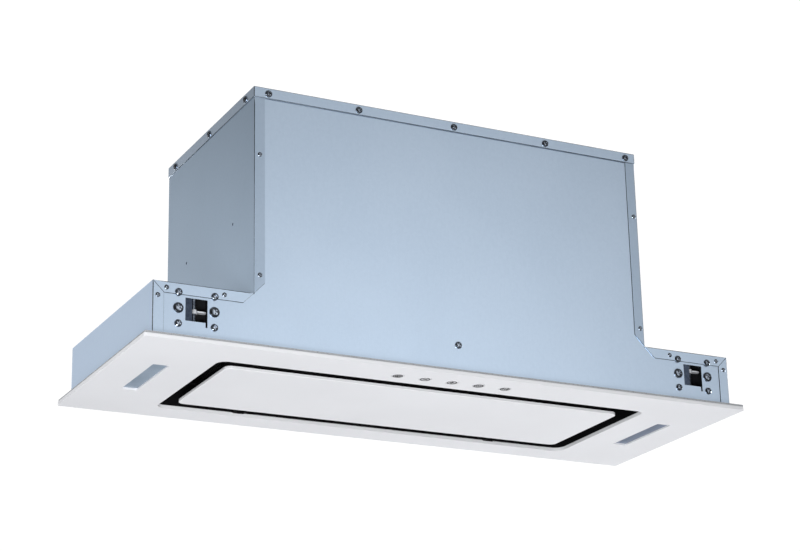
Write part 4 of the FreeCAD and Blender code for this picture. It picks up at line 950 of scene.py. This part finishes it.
def add_floor():
    shape = bmesh.new()
    bmesh.ops.create_grid(shape, x_segments=2, y_segments=2, size=8)
    bmesh.ops.translate(shape, verts=shape.verts, vec=(0, 0, FLOOR_LEVEL))
    mesh = bpy.data.meshes.new("floor")
    shape.to_mesh(mesh)
    shape.free()
    floor = bpy.data.objects.new("floor", mesh)
    bpy.context.scene.collection.objects.link(floor)
    paint = Finish("pale_floor", Base_Color=(0.86, 0.87, 0.88, 1), Roughness=0.9)
    mesh.materials.append(paint.material)


def toward(azimuth, elevation):
    """A direction: azimuth 0 is the hood's front and 90 its right, elevation is above the horizon."""
    turn = math.radians(azimuth)
    rise = math.radians(elevation)
    return (math.cos(rise) * math.sin(turn), -math.cos(rise) * math.cos(turn), math.sin(rise))


def lobe(way, aim, start, full):
    """A soft patch of light: 0 where the cosine to its aim is below start, 1 above full."""
    x, y, z = way
    return (x * aim[0] + y * aim[1] + z * aim[2]).between(start, full)


DOME = (
    # azimuth and elevation of a patch, its start and full cosines, its level
    (26, 12, 0.975, 0.999, 2.4),
    (20, 22, 0.975, 0.999, 0.3),
    (-160, 14, 0.975, 0.999, 1.05),
    (150, 14, 0.93, 0.995, 1.3),
    (120, 30, 0.6, 0.95, 0.2),
    (0, 90, 0.3, 0.9, 0.12),
    (165, 55, 0.8, 0.97, 0.35),
)


def add_light_dome():
    """Soft light all round, dark where the photographer stands, with a few soft patches.

    What the camera sees directly is plain white paper.
    """
    world = bpy.data.worlds.new("studio")
    bpy.context.scene.world = world
    world.use_nodes = True
    dome = Graph(world.node_tree)
    way = dome.split(dome.place("Generated"))
    level = 0.12 - lobe(way, toward(-30, 6), 0.86, 0.97) * 0.1
    for azimuth, elevation, start, full, strength in DOME:
        level = level + lobe(way, toward(azimuth, elevation), start, full) * strength
    seen = dome.node("ShaderNodeLightPath", {}, {}, "Is Camera Ray")
    level = level * (1 - seen) + seen * 1.05
    background = world.node_tree.nodes["Background"]
    background.inputs["Color"].default_value = (1, 1, 1, 1)
    world.node_tree.links.new(level.socket, background.inputs["Strength"])


def add_lamp(name, place, aim, width, height, power):
    light = bpy.data.lights.new(name, "AREA")
    light.shape = "RECTANGLE"
    light.size = width
    light.size_y = height
    light.energy = power
    lamp = bpy.data.objects.new(name, light)
    lamp.visible_camera = False
    bpy.context.scene.collection.objects.link(lamp)
    away = Vector(place) - Vector(aim)
    lamp.matrix_world = Matrix.Translation(place) @ away.to_track_quat("Z", "Y").to_matrix().to_4x4()


bpy.context.scene.view_settings.view_transform = "Standard"
add_camera()
add_floor()
add_light_dome()
add_lamp("softbox_camera_side", (-1.2, -2.0, -1.15), (0, 0, 0), 1.0, 0.6, 58)
add_lamp("softbox_left", (-1.5, 0.1, -0.1), (-0.4, 0, 0.05), 0.8, 0.3, 5.5)
add_lamp("softbox_right", (1.5, 0.1, 0.1), (0.4, 0, 0.1), 0.8, 0.3, 16)
add_lamp("softbox_back", (0.2, 1.4, 0.1), (0, 0.16, 0.15), 1.2, 0.3, 14)
add_lamp("softbox_below", (0.2, 0.1, -2.6), (0, 0, 0), 1.6, 1.2, 8)
add_lamp("softbox_below_right", (0.8, 0.6, -1.1), (0.3, 0.1, 0), 1.2, 1.0, 9.5)
